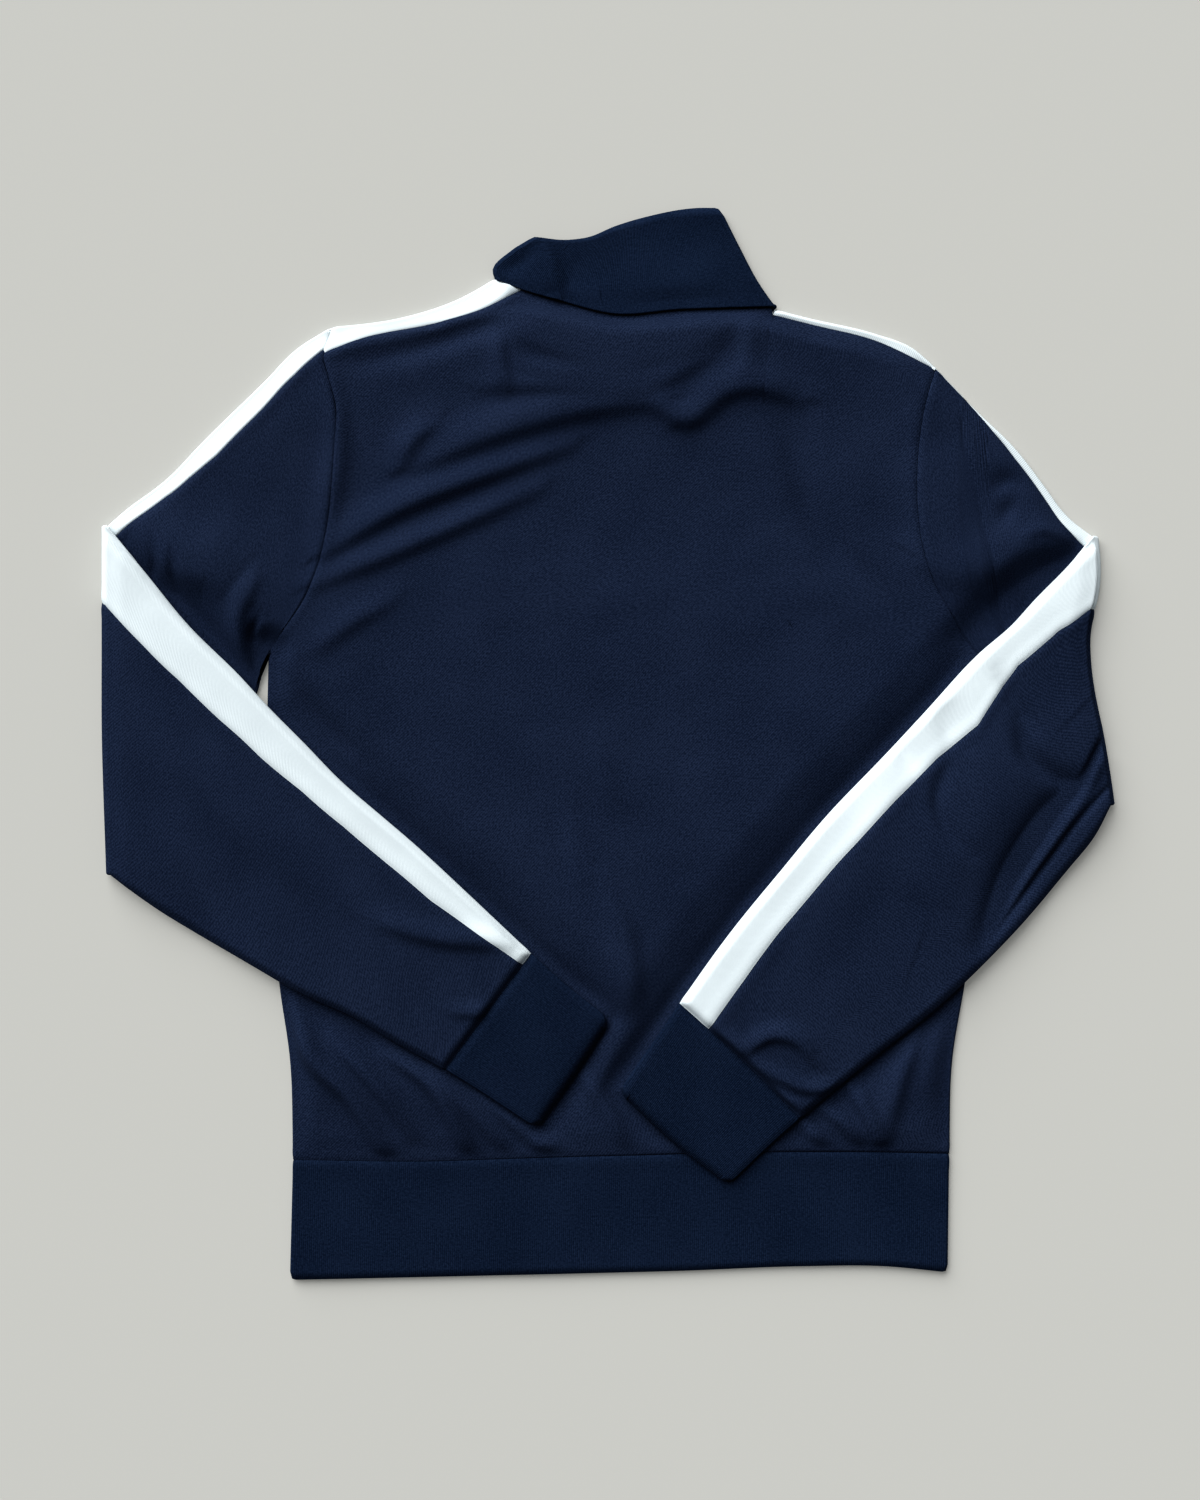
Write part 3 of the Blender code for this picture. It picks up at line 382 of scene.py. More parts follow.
def graded(size, step, near_start=True, near_end=True):
    """Shares of a length, evenly spaced but for closer lines beside a seam at either end."""
    near = [d for d in NEAR_SEAM if d < size / 3]
    start = near if near_start else [0.0]
    end = [size - d for d in near[::-1]] if near_end else [size]
    count = max(2, round((end[0] - start[-1]) / step))
    middle = np.linspace(start[-1], end[0], count + 1)[1:-1]
    return np.concatenate((start, middle, end)) / size


def spread(stops, patterns):
    """Rising values from stop to stop. A pattern is how many even steps a run has, or its own shares."""
    runs = []
    for a, b, pattern in zip(stops, stops[1:], patterns):
        shares = np.linspace(0, 1, pattern + 1) if isinstance(pattern, int) else pattern
        runs.append(a + (b - a) * shares[:-1])
    return np.concatenate(runs + [np.array([stops[-1]])])


def ease(value):
    t = np.clip(value, 0, 1)
    return t * t * (3 - 2 * t)


def distance_to(route, x, y):
    """Distance of each point from a line of points, the share of the line where it is nearest, and its side.

    The side is 1 on the left of the line as it runs and -1 on its right.
    """
    route = np.array(route, float)
    total, passed = length(route), 0.0
    nearest = np.full(np.shape(x), np.inf)
    share = np.zeros(np.shape(x))
    way = np.ones(np.shape(x))
    for (ax, ay), (bx, by) in zip(route, route[1:]):
        run = math.hypot(bx - ax, by - ay)
        t = np.clip(((x - ax) * (bx - ax) + (y - ay) * (by - ay)) / run**2, 0, 1)
        gap = np.hypot(x - ax - t * (bx - ax), y - ay - t * (by - ay))
        closer = gap < nearest
        nearest = np.where(closer, gap, nearest)
        share = np.where(closer, (passed + t * run) / total, share)
        way = np.where(closer, np.sign((bx - ax) * (y - ay) - (by - ay) * (x - ax)), way)
        passed += run
    return nearest, share, way


def nearest_to(lines, x, y):
    """Distance of each point from the nearest of some lines."""
    return np.min([distance_to(line, x, y)[0] for line in lines], axis=0)


def waves(x, y, size, seed):
    """A smooth uneven height, between about -1 and 1, whose swells are as wide as size."""
    cells, gain = 64, 1.4
    turn = np.random.default_rng(seed).uniform(0, 2 * math.pi, (cells, cells))
    i, j = np.floor(x / size).astype(int), np.floor(y / size).astype(int)
    u, v = x / size - i, y / size - j
    total = np.zeros(np.shape(x))
    for di in (0, 1):
        for dj in (0, 1):
            angle = turn[(i + di) % cells, (j + dj) % cells]
            rise = np.cos(angle) * (u - di) + np.sin(angle) * (v - dj)
            a, b = 1 - np.abs(u - di), 1 - np.abs(v - dj)
            total += rise * a**3 * (6 * a * a - 15 * a + 10) * b**3 * (6 * b * b - 15 * b + 10)
    return gain * total


def unevenness(swells, x, y):
    """The sum of waves of the given heights, widths and seeds."""
    return sum(height * waves(x, y, size, seed) for height, size, seed in swells)


def ridges(folds, x, y):
    """Height of all the folds of a table, each fading out at its ends."""
    total = np.zeros(np.shape(x))
    for crest, gentle, steep, height in folds:
        route = stretch(crest, count=4 * len(crest))
        room = FOLD_MARGIN * max(gentle, steep)
        near = ((x > route[:, 0].min() - room) & (x < route[:, 0].max() + room)
                & (y > route[:, 1].min() - room) & (y < route[:, 1].max() + room))
        gap, share, way = distance_to(route, x[near], y[near])
        reach = np.where(way > 0, gentle, steep)
        fade = np.sin(np.pi * (FOLD_END + (1 - 2 * FOLD_END) * share))**FOLD_BLUNT
        total[near] += height * fade * np.exp(-(gap / reach)**2)
    return total


def inside(outline, x, y):
    within = np.zeros(np.shape(x), bool)
    for (ax, ay), (bx, by) in zip(outline, np.roll(outline, -1, axis=0)):
        crosses = (ay > y) != (by > y)
        rise = by - ay if by != ay else 1.0
        within ^= crosses & (x < ax + (y - ay) * (bx - ax) / rise)
    return within


def bounded(relief, tallest):
    """Heights that reach neither below SUNK nor, softly, above the tallest."""
    return np.maximum(relief - np.logaddexp(0, relief - tallest), SUNK)


def held_lines():
    """Lines along which the upper layer is pressed down onto the lower one."""
    lines = [HEM, NECK]
    for side in SIDES.values():
        lines += [side[edge] for edge in ("shoulder", "side_seam", "stripe_edge_up", "underarm_up", "crease")]
    return lines


def lift(x, y, lines):
    """How far cloth stands above where it is pressed down: along some lines, and by the forearms' weight."""
    closeness = np.zeros(np.shape(x))
    for line in lines:
        distance = distance_to(stretch(line, count=3 * len(line)), x, y)[0]
        closeness += np.exp(-distance / HELD_BLEND)
    nearest = -HELD_BLEND * np.log(np.maximum(closeness, TINY))
    forearms = [forearm_outline(side) for side in SIDES.values()]
    covered = np.any([inside(forearm, x, y) for forearm in forearms], axis=0)
    beside = np.where(covered, 0.0, nearest_to(forearms, x, y))
    weight = PRESSED + (1 - PRESSED) * ease(beside / FOLD_RUN)
    loft = LOFT + SWELL * ease((SWELL_FROM - y) / SWELL_RUN)
    loft *= PRESSED + (1 - PRESSED) * ease(beside / PRESS_RUN)
    loft *= HEM_LOFT + (1 - HEM_LOFT) * ease((y - HEM[0][1]) / HEM_RUN)
    loft -= SINK * np.exp(-((beside - SINK_FROM) / SINK_REACH)**2) * (beside > 0)
    loft *= ease((nearest - HELD_REST) / HELD_RUN)
    weight *= ease((nearest - HELD_REST) / CREASE_RUN)
    return bounded(loft + weight * (ridges(BACK_FOLDS, x, y) + unevenness(BACK_WAVES, x, y)), TALLEST)


def forearm_outline(side):
    """The folded-back part of a sleeve and its cuff, as a closed outline."""
    parts = [stretch(side["stripe_edge_down"]), side["cuff_top"][1:], side["cuff_edge"][1:],
             side["cuff_under"][-2::-1], stretch(side["underarm_down"], UNDER_END, 0)]
    return np.concatenate([np.array(part, float) for part in parts])


def arm_lift(name, x, y):
    """Folds on the top of a forearm, held down at its edges and its cuff."""
    edges = forearm_outline(SIDES[name]), stretch(SIDES[name]["cuff_seam"], count=5)
    relief = ARM_LOFT + ridges(ARM_FOLDS[name], x, y) + unevenness(ARM_WAVES, x, y)
    return ease(nearest_to(edges, x, y) / ARM_RUN) * bounded(relief, ARM_TALLEST)


def cuff_lift(name, x, y):
    borders = "cuff_seam", "cuff_top", "cuff_edge", "cuff_under"
    edges = [stretch(SIDES[name][border], count=5) for border in borders]
    return CUFF_LOFT * ease(nearest_to(edges, x, y) / ARM_RUN)


def arm_sag(name, x, y):
    """How much lower a forearm lies where it sags towards the ground."""
    (cx, cy), reach, depth = ARM_SAG[name]
    return depth * np.exp(-((x - cx)**2 + (y - cy)**2) / reach**2)


def steps_along(grid, axis):
    """Distance of each grid point from the first row (axis 0) or column (axis 1), along the cloth."""
    steps = np.linalg.norm(np.diff(grid, axis=axis), axis=2)
    pad = np.zeros_like(np.take(steps, [0], axis=axis))
    return np.concatenate((pad, np.cumsum(steps, axis=axis)), axis=axis)


def outward(grid, facing):
    """Unit normals of a grid; facing is 1 or -1 to point them out of the jacket."""
    return facing * unit(np.cross(np.gradient(grid, axis=1), np.gradient(grid, axis=0)))


def lapped(grid, seam):
    """The grid with one more line beyond a border, which runs on under the neighbour's edge."""
    lines = grid.swapaxes(0, 1) if seam in ("left", "right") else grid
    backward = seam in ("last", "right")
    lines = lines[::-1] if backward else lines
    lines = np.concatenate(((lines[0] + LAP * unit(lines[0] - lines[2]))[None], lines))
    lines = lines[::-1] if backward else lines
    return lines.swapaxes(0, 1) if seam in ("left", "right") else lines


def tuck(grid, facing, over=(), under=(), puff=PUFF_HEIGHT, share=1.0):
    """Turns a panel in along its seams and swells it a little beside them.

    over and under name borders: "first" and "last" rows, "left" and "right" columns. At one the
    edge lies over its neighbour's, at the other it laps under it. share weakens the turn by place.
    """
    sink = np.zeros(grid.shape[:2])
    for seam in (*over, *under):
        passed = steps_along(grid, 0 if seam in ("first", "last") else 1)
        if seam == "last":
            passed = passed[-1:] - passed
        if seam == "right":
            passed = passed[:, -1:] - passed
        sink += TUCK_DEPTH * np.exp(-(passed / TUCK_REACH)**2)
        sink -= puff * np.exp(-((passed - PUFF_FROM) / PUFF_REACH)**2)
        if seam in under:
            sink += DROP * np.exp(-(passed / DROP_REACH)**2)
    normal = outward(grid, facing)
    shown = np.clip(normal[..., 2] - SHOWN_FROM, 0, 1)
    grid = grid - normal * (sink * shown * share)[:, :, None]
    for seam in under:
        grid = lapped(grid, seam)
    return grid


def new_object(name, data):
    thing = bpy.data.objects.new(name, data)
    bpy.context.scene.collection.objects.link(thing)
    return thing


def shell(node, kind, grid, look, wall=KNIT, closed=False):
    """A cloth piece: a wall round a grid of middle points, which stands for a CAD node."""
    name = f"{node}_{kind}"
    rows, columns = grid.shape[:2]
    run, rise = steps_along(grid, 1), steps_along(grid, 0)
    placed = grid + np.array((*CENTRING, 0.0))
    placed[..., 2] = np.maximum(placed[..., 2], wall / 2)
    placed *= MM
    if closed:
        around = run[:, -1] + np.linalg.norm(grid[:, 0] - grid[:, -1], axis=1)
        run, rise = np.column_stack((run, around)), np.column_stack((rise, rise[:, 0]))
    faces, corners = [], []
    for i in range(rows - 1):
        for j in range(run.shape[1] - 1):
            spots = (i, j), (i, j + 1), (i + 1, j + 1), (i + 1, j)
            faces.append([row * columns + column % columns for row, column in spots])
            corners += [value for spot in spots for value in (run[spot], rise[spot])]
    mesh = bpy.data.meshes.new(name)
    mesh.from_pydata(placed.reshape(-1, 3).tolist(), [], faces)
    mesh.uv_layers.new(name="knit").data.foreach_set("uv", corners)
    mesh.shade_smooth()
    mesh.materials.append(look)
    piece = new_object(name, mesh)
    wall_of = piece.modifiers.new("wall", "SOLIDIFY")
    wall_of.thickness = wall * MM
    wall_of.offset = 0.0
    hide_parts(node)
    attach(piece, "root")
    declare_sheet(placed, closed)


def declare_sheet(points, closed):
    """Joins a closed piece's points round to its first column, and does nothing more with them."""
    if closed:
        points = np.concatenate((points, points[:, :1]), axis=1)


def slant(section, edge):
    """How much longer a cut along a section is than the true width that it crosses at an edge."""
    cosine = abs(float(np.dot(section, edge))) / (np.linalg.norm(section) * np.linalg.norm(edge))
    return 1 / math.sqrt(max(1 - cosine**2, 1 / MOST_SLANT**2))


def stripe_slant(edge, ends, share):
    """The slant of a section, given by its ends, to a sleeve's stripe edge."""
    chord = along(edge, min(share + SLANT_REACH, 1.0)) - along(edge, max(share - SLANT_REACH, 0.0))
    return slant(ends[1] - ends[0], chord)


def tube(place, low, high):
    """How far places round a flattened tube have turned at its first and second edge, and their height.

    0 is the first edge and 3 the second; from 1 to 2 the layer is flat. Places below zero are on
    the lower layer.
    """
    reach = np.abs(place)
    turns = [np.clip(part, 0, 1) * math.pi / 2 for part in (reach, 3 - reach)]
    rise = np.sign(place) * (high - low) / 2 * np.sin(turns[0]) * np.sin(turns[1])
    return turns, (high + low) / 2 + rise


def round_edge(place, flat, slants, wall, low, high):
    """Plan distance from the first edge and height, for places round a flattened tube.

    slants are how much longer a cut across each edge is than its true width.
    """
    radius = (high - low) / 2
    turns, height = tube(place, low, high)
    across = (slants[0] * (wall / 2 + radius * (1 - np.cos(turns[0])))
              + np.clip(np.abs(place) - 1, 0, 1) * flat + slants[1] * radius * np.cos(turns[1]))
    return across, height


def roll_gap(radius):
    """Half a seam's gap, as a place on a turned edge."""
    return EDGE_SEAM / 2 / (radius * math.pi / 2)


def sleeve_sections(side):
    """Rows along a sleeve: its stretch, its share of that stretch, the turn and the layer heights."""
    upper = graded(length(side["stripe_edge_up"]), FINE, near_end=False)
    rows = [("up", s, 0.0, LOW, HIGH) for s in upper]
    rows += [("turn", 1.0, math.radians(a), LOW, HIGH) for a in range(FOLD_STEP, 180, FOLD_STEP)]
    for s in graded(length(side["stripe_edge_down"]), FINE, near_start=False):
        share = ease((s - (1 - CUFF_RUN)) / CUFF_RUN)
        rows.append(("down", s, math.pi, LOW + share * (CUFF_HIGH - LOW), HIGH + share * (CUFF_LOW - HIGH)))
    return rows


def sleeve_plan(side, stage, edge):
    """Outer edges of a stretch of sleeve, and the patch of its flat layers between their turned edges."""
    inward = np.array([-side["side"] * (FOLD_AXIS - LOW + WALL / 2), 0.0])
    crease = np.array(side["crease"], float) + inward
    if stage == "down":
        near, far, fold_end = crease, side["cuff_seam"], 0
        stripe, under = side["stripe_edge_down"], side["underarm_down"]
    else:
        near, far, fold_end = side["armhole"], crease, -1
        stripe, under = side["stripe_edge_up"], side["underarm_up"]
    stripe, under = np.array(stripe, float), np.array(under, float)
    stripe[fold_end] += inward
    under[fold_end] += inward
    trimmed = [stretch(curve, edge / length(curve), 1 - edge / length(curve)) for curve in (near, far)]
    inner = []
    for border, corner, turn in ((stripe, 0, 1), (under, -1, -1)):
        line = inset(border, turn * edge * SLEEVE_TURN[stage] * side["side"])
        line[0], line[-1] = trimmed[0][corner], trimmed[1][corner]
        inner.append(line)
    return stripe, under, (*trimmed, *inner)


def flat_place(distance, flat, oblique, radius):
    """Place round the tube of what lies at a true distance from its first edge."""
    edge = WALL / 2 + radius
    if distance >= edge:
        return 1 + (distance - edge) * oblique / flat
    return math.acos(min(1.0, 1 - (distance - WALL / 2) / radius)) * 2 / math.pi


def sleeve_row(side, section, stops, patterns):
    """Middle points of one row across a piece of a sleeve, and their places round it."""
    stage, share, turn, low, high = section
    radius = (high - low) / 2
    edge = WALL / 2 + radius
    part = "down" if stage == "down" else "up"
    stripe, under, plan = sleeve_plan(side, part, edge)
    if stage == "down":
        where = min(share, 1 - END_GAP)
    else:
        where = share + END_GAP * (1 - ease(share / START_RUN))
    outer = along(stripe, where), along(under, where)
    inner, flat = patch_ends(plan, where, SLEEVE_FADE)
    oblique = stripe_slant(stripe, inner, where)
    widths = side[f"white_{part}"]
    white = np.interp(share, np.linspace(0, 1, len(widths)), widths)
    if stage == "turn":
        next_edge = sleeve_plan(side, "down", edge)[0]
        oblique += turn / math.pi * (stripe_slant(next_edge, inner, 0.0) - oblique)
        white += turn / math.pi * (side["white_down"][0] - white)

    def place_of(distance):
        return flat_place(distance, flat, oblique, radius)

    place = spread(stops(place_of, white, radius), patterns)
    reach = np.abs(place)
    turns, height = tube(place, low, high)
    xy = patch(*plan, np.clip(reach - 1, 0, 1), where, SLEEVE_FADE)
    for corner, on_edge in enumerate((reach < 1, reach > 2)):
        gap = (WALL / 2 + radius * (1 - np.cos(turns[corner]))) / edge
        rolled = outer[corner] + gap[:, None] * (inner[corner] - outer[corner])
        xy = np.where(on_edge[:, None], rolled, xy)
    arm = FOLD_AXIS - height
    x = xy[:, 0] + side["side"] * arm * math.sin(turn)
    return np.column_stack((x, xy[:, 1], FOLD_AXIS - arm * math.cos(turn))), place


def sleeve_grid(name, stops, patterns):
    """Middle points of one lengthwise piece of a sleeve; stops gives its borders round the tube."""
    sections = sleeve_sections(SIDES[name])
    rows = [sleeve_row(SIDES[name], section, stops, patterns) for section in sections]
    grid, place = (np.array(part) for part in zip(*rows))
    stage = np.array([section[0] for section in sections])[:, None]
    folded = stage == "down"
    x, y = grid[..., 0], grid[..., 1]
    creases = [side["crease"] for side in SIDES.values()]
    height = np.where(folded, lift(x, y, creases), lift(x, y, held_lines()))
    raised, top = folded | ((stage == "up") & (place > 0)), folded & (place < 0)
    grid[..., 2] += raised * height + top * arm_lift(name, x, y) - folded * arm_sag(name, x, y)
    return grid


def make_sleeve(name, looks):
    """The three lengthwise pieces of a sleeve."""
    def back(place, width, radius):
        return [place(width + SEAM / 2), 2.0, 3 - roll_gap(radius)]

    def front(place, width, radius):
        return [-3 + roll_gap(radius), -2.0, -place(STRIPE - width + SEAM / 2)]

    def stripe(place, width, radius):
        border = place(width - SEAM / 2)
        return [-place(STRIPE - width - SEAM / 2), -1.0, min(1.0, TURN_SHARE * border), border]

    beside = graded(length(SIDES[name]["crease"]), FINE, near_end=False)
    strip = (graded(SLEEVE_STRIP[0], FINE, near_end=False), 2 * TURN_STEPS,
             graded(SLEEVE_STRIP[1], FINE, near_start=False))
    for piece, stops, patterns, over, under, colour in (
            ("sleeve_back", back, (beside, TURN_STEPS), (), ("first", "left"), "navy"),
            ("sleeve_front", front, (TURN_STEPS, 1 - beside[::-1]), (), ("first", "right"), "navy"),
            ("sleeve_stripe", stripe, strip, ("left", "right"), ("first",), "white")):
        grid = tuck(sleeve_grid(name, stops, patterns), SIDES[name]["side"], (*over, "last"), under)
        shell(f"{piece}_{name}", "knit", grid, looks[colour])


def round_corners(across, up, width, tall, radius):
    """Moves places near the far corners of a patch so that its outline turns them in an arc."""
    into_side = np.clip(1 - np.minimum(across, 1 - across) * width / radius, 0, 1)
    into_end = np.clip(1 - (1 - up) * tall / radius, 0, 1)
    inward = into_side * (1 - np.sqrt(1 - into_end**2 / 2)) * radius / width
    back = into_end * (1 - np.sqrt(1 - into_side**2 / 2)) * radius / tall
    return across + np.where(across < 0.5, inward, -inward), up - back


def ribbed(grid, facing, columns):
    """Raises a rib on every few columns of the given range."""
    phase = np.arange(grid.shape[1]) - columns.start
    inner = (phase >= 0) & (phase < len(columns))
    wave = np.where(inner, np.cos(2 * math.pi * phase / RIB_COLUMNS), 0.0)
    return grid + outward(grid, facing) * (RIB_HEIGHT * wave)[None, :, None]


def tube_row(plan, place, flat, slants, heights, share, size, corner):
    """A row round a rib tube that lies on a plan, with its far corners turned in an arc."""
    wide, tall = size
    across, height = round_edge(place, flat, slants, RIB_WALL, *heights)
    return np.column_stack((patch(*plan, *round_corners(across / wide, share, wide, tall, corner)), height))


def rib_columns(width):
    return RIB_COLUMNS * round(width / RIB_PITCH)


def make_cuff(name, looks):
    """A short rib tube, closed round, with its folded edge at the wrist."""
    side = SIDES[name]
    shown = rib_columns(length(side["cuff_seam"]))
    patterns = TURN_STEPS, shown, TURN_STEPS, TURN_STEPS, CUFF_STEPS, TURN_STEPS
    place = spread([-3, -2, -1, 0, 1, 2, 3], patterns)[:-1]
    plan = side["cuff_seam"], side["cuff_edge"], side["cuff_top"], side["cuff_under"]
    tall = length(side["cuff_top"])
    grid = []
    for share in graded(tall, RIB_ROWS, near_end=False):
        width = patch_ends(plan, share)[1]
        flat = width - 2 * (RIB_WALL / 2 + (CUFF_LOW - CUFF_HIGH) / 2)
        grid.append(tube_row(plan, place, flat, (1, 1), (CUFF_HIGH, CUFF_LOW), max(share, SEAM / tall),
                             (width, tall), CUFF_CORNER))
    grid = np.array(grid)
    grid[..., 2] = 2 * FOLD_AXIS - grid[..., 2]
    x, y = grid[..., 0], grid[..., 1]
    grid[..., 2] += lift(x, y, [side["crease"]]) + (place < 0) * cuff_lift(name, x, y)
    grid = tuck(grid, side["side"], under=("first",))
    grid = ribbed(grid, side["side"], range(shown + 2 * TURN_STEPS))
    shell(f"cuff_{name}", "rib", grid, looks["rib"], RIB_KNIT, closed=True)


def side_boundary(side, white, step):
    """Points up a side seam and then up the armhole to the white strip, and how far each turns down."""
    seam_size, whole = length(side["side_seam"]), length(side["armhole"])
    seam_shares = graded(seam_size, step, near_end=False)
    seam = along(side["side_seam"], seam_shares)
    armhole = along(side["armhole"], 1 - (1 - white / whole) * graded(whole - white, step, near_start=False))
    turned = ease((1 - seam_shares) * seam_size / SIDE_RUN)
    return np.concatenate((seam, armhole[1:])), np.concatenate((turned, np.zeros(len(armhole) - 1)))


def blend_between(low, high, first, last):
    """Plan points of a patch whose four borders are lists of points, one for each column or row."""
    u, v = (np.concatenate(([0.0], np.cumsum(np.linalg.norm(np.diff(line, axis=0), axis=1))))
            for line in (low, first))
    u, v = (u / u[-1])[None, :, None], (v / v[-1])[:, None, None]
    corners = ((1 - u) * (1 - v) * low[0] + u * (1 - v) * low[-1]
               + (1 - u) * v * high[0] + u * v * high[-1])
    return (1 - v) * low[None] + v * high[None] + (1 - u) * first[:, None] + u * last[:, None] - corners


def side_columns(plan, turned, layer):
    """The first columns of a body panel: where it turns down at its side seam, or stops at an armhole."""
    radius, middle = (HIGH - LOW) / 2, (HIGH + LOW) / 2
    towards = unit(plan[:, 1] - plan[:, 0])
    columns, start = [], roll_gap(radius)
    for step in np.linspace(start, 1.0, TURN_STEPS):
        turn = step * math.pi / 2
        rolled = WALL / 2 + radius * (1 - math.cos(turn))
        plain = SEAM / 2 + (step - start) / (1 - start) * (WALL / 2 + radius)
        gap = plain + turned * (rolled - plain)
        height = middle + layer * radius * (1 + turned * (math.sin(turn) - 1))
        columns.append(np.column_stack((plan[:, 0] + towards * gap[:, None], height)))
    return columns


def level(plan, height):
    """The flat columns of a body panel."""
    return [np.column_stack((plan[:, j], np.full(len(plan), height))) for j in range(plan.shape[1])]


def make_back(looks):
    left, right = SIDES["left"], SIDES["right"]
    first, turned = side_boundary(left, left["back_white"], FINE)
    last, turned_right = side_boundary(right, right["back_white"], FINE)
    turned_right = np.interp(np.linspace(0, 1, len(first)), np.linspace(0, 1, len(last)), turned_right)
    last = stretch(last, count=len(first))
    top = np.concatenate((stretch(left["shoulder_inner"][::-1], count=BACK_TOP[0]),
                          stretch(inset(NECK, SEAM), *NECK_SPAN, BACK_TOP[1]),
                          stretch(right["shoulder_inner"], count=BACK_TOP[2])))
    top[:, 1] -= SEAM / 2
    low = stretch(HEM, count=len(top))
    low[:, 1] += SEAM
    first[0], first[-1] = low[0], top[0]
    last[0], last[-1] = low[-1], top[-1]
    plan = blend_between(low, top, first, last)
    grid = np.stack(side_columns(plan, turned, 1) + level(plan[:, 1:-1], HIGH)
                    + side_columns(plan[:, ::-1], turned_right, 1)[::-1], axis=1)
    grid[..., 2] += lift(grid[..., 0], grid[..., 1], held_lines())
    grid = tuck(grid, 1, over=("first",), puff=HEM_PUFF)
    grid = tuck(grid, 1, over=("last",))
    grid = tuck(grid, 1, over=("left",), share=1 - turned[:, None])
    grid = tuck(grid, 1, over=("right",), share=1 - turned_right[:, None])
    shell("back", "knit", grid, looks["navy"])


def from_side(name, points):
    """A table that runs from left to right, started at the given side."""
    return points if name == "left" else points[::-1]


def make_front(name, looks):
    """One front panel, hidden on the ground, from its side seam to the zip."""
    side = SIDES[name]
    white = STRIPE - side["shoulder_white"]
    first, turned = side_boundary(side, white + SEAM, COARSE)
    centre = stretch(CENTRE[1:3], count=len(first))
    centre[:, 0] += side["side"] * ZIP_GAP
    neck, hem = from_side(name, FRONT_NECK), from_side(name, HEM)
    strip = stretch(strip_plan(name, -1)[3], 1, 0, FRONT_TOP[0])
    neckline = stretch(neck, white / length(neck), distance_to(neck, *centre[-1])[1], FRONT_TOP[1])
    top = np.concatenate((strip[:-1], neckline))
    top[:, 1] -= SEAM
    low = stretch(hem, 0, abs(centre[0, 0] - hem[0][0]) / length(HEM), len(top))
    low[:, 1] += SEAM
    centre[0, 1], low[-1, 0] = low[-1, 1], centre[0, 0]
    centre[-1] = top[-1]
    first[0], first[-1] = low[0], top[0]
    plan = blend_between(low, top, first, centre)
    grid = np.stack(side_columns(plan, turned, -1) + level(plan[:, 1:], LOW), axis=1)
    shell(f"front_{name}", "knit", grid, looks["navy"])


def strip_plan(name, layer):
    """Outline of the white strip over a shoulder, on its back (1) or its front (-1) layer."""
    side = SIDES[name]
    if layer > 0:
        inner = np.array(side["shoulder_inner"], float)
        near = [side["shoulder"][0], side["shoulder_inner"][0]]
        far = stretch(side["armhole"], 0, distance_to(side["armhole"], *inner[-1])[1])
    else:
        width = STRIPE - side["shoulder_white"]
        inner = inset(side["shoulder"], width * side["side"])
        neck = from_side(name, FRONT_NECK)
        near = stretch(neck, 0, width / length(neck))
        near[0] = side["shoulder"][0]
        far = stretch(side["armhole"], 0, width / length(side["armhole"]))
        inner[0] = near[-1]
    inner[-1] = far[-1]
    return near, far, side["shoulder"], inner


def make_shoulder(name, looks):
    """The white strip over a shoulder, turned round its fold."""
    front, back = SHOULDER_STRIP
    edge = WALL / 2 + (HIGH - LOW) / 2
    layers = ((-1, spread([-2, -1, 0], (graded(front, FINE, near_end=False), TURN_STEPS))),
              (1, spread([0, 1, 2], (TURN_STEPS, graded(back, FINE, near_start=False)))[1:]))
    grid = []
    for share in graded(length(SIDES[name]["shoulder"]), FINE):
        row = []
        where = END_GAP + (1 - 2 * END_GAP) * share
        for layer, places in layers:
            plan = strip_plan(name, layer)
            width = patch_ends(plan, where)[1]
            flat = width - edge - SEAM / 2
            across, height = round_edge(places, flat, (1, 1), WALL, LOW, HIGH)
            row += list(np.column_stack((patch(*plan, across / width, where), height)))
        grid.append(row)
    grid = np.array(grid)
    on_back = np.arange(grid.shape[1]) >= len(layers[0][1])
    grid[..., 2] += on_back * lift(grid[..., 0], grid[..., 1], held_lines())
    grid = tuck(grid, SIDES[name]["side"], over=("first", "last", "left"), under=("right",))
    shell(f"shoulder_stripe_{name}", "knit", grid, looks["white"])


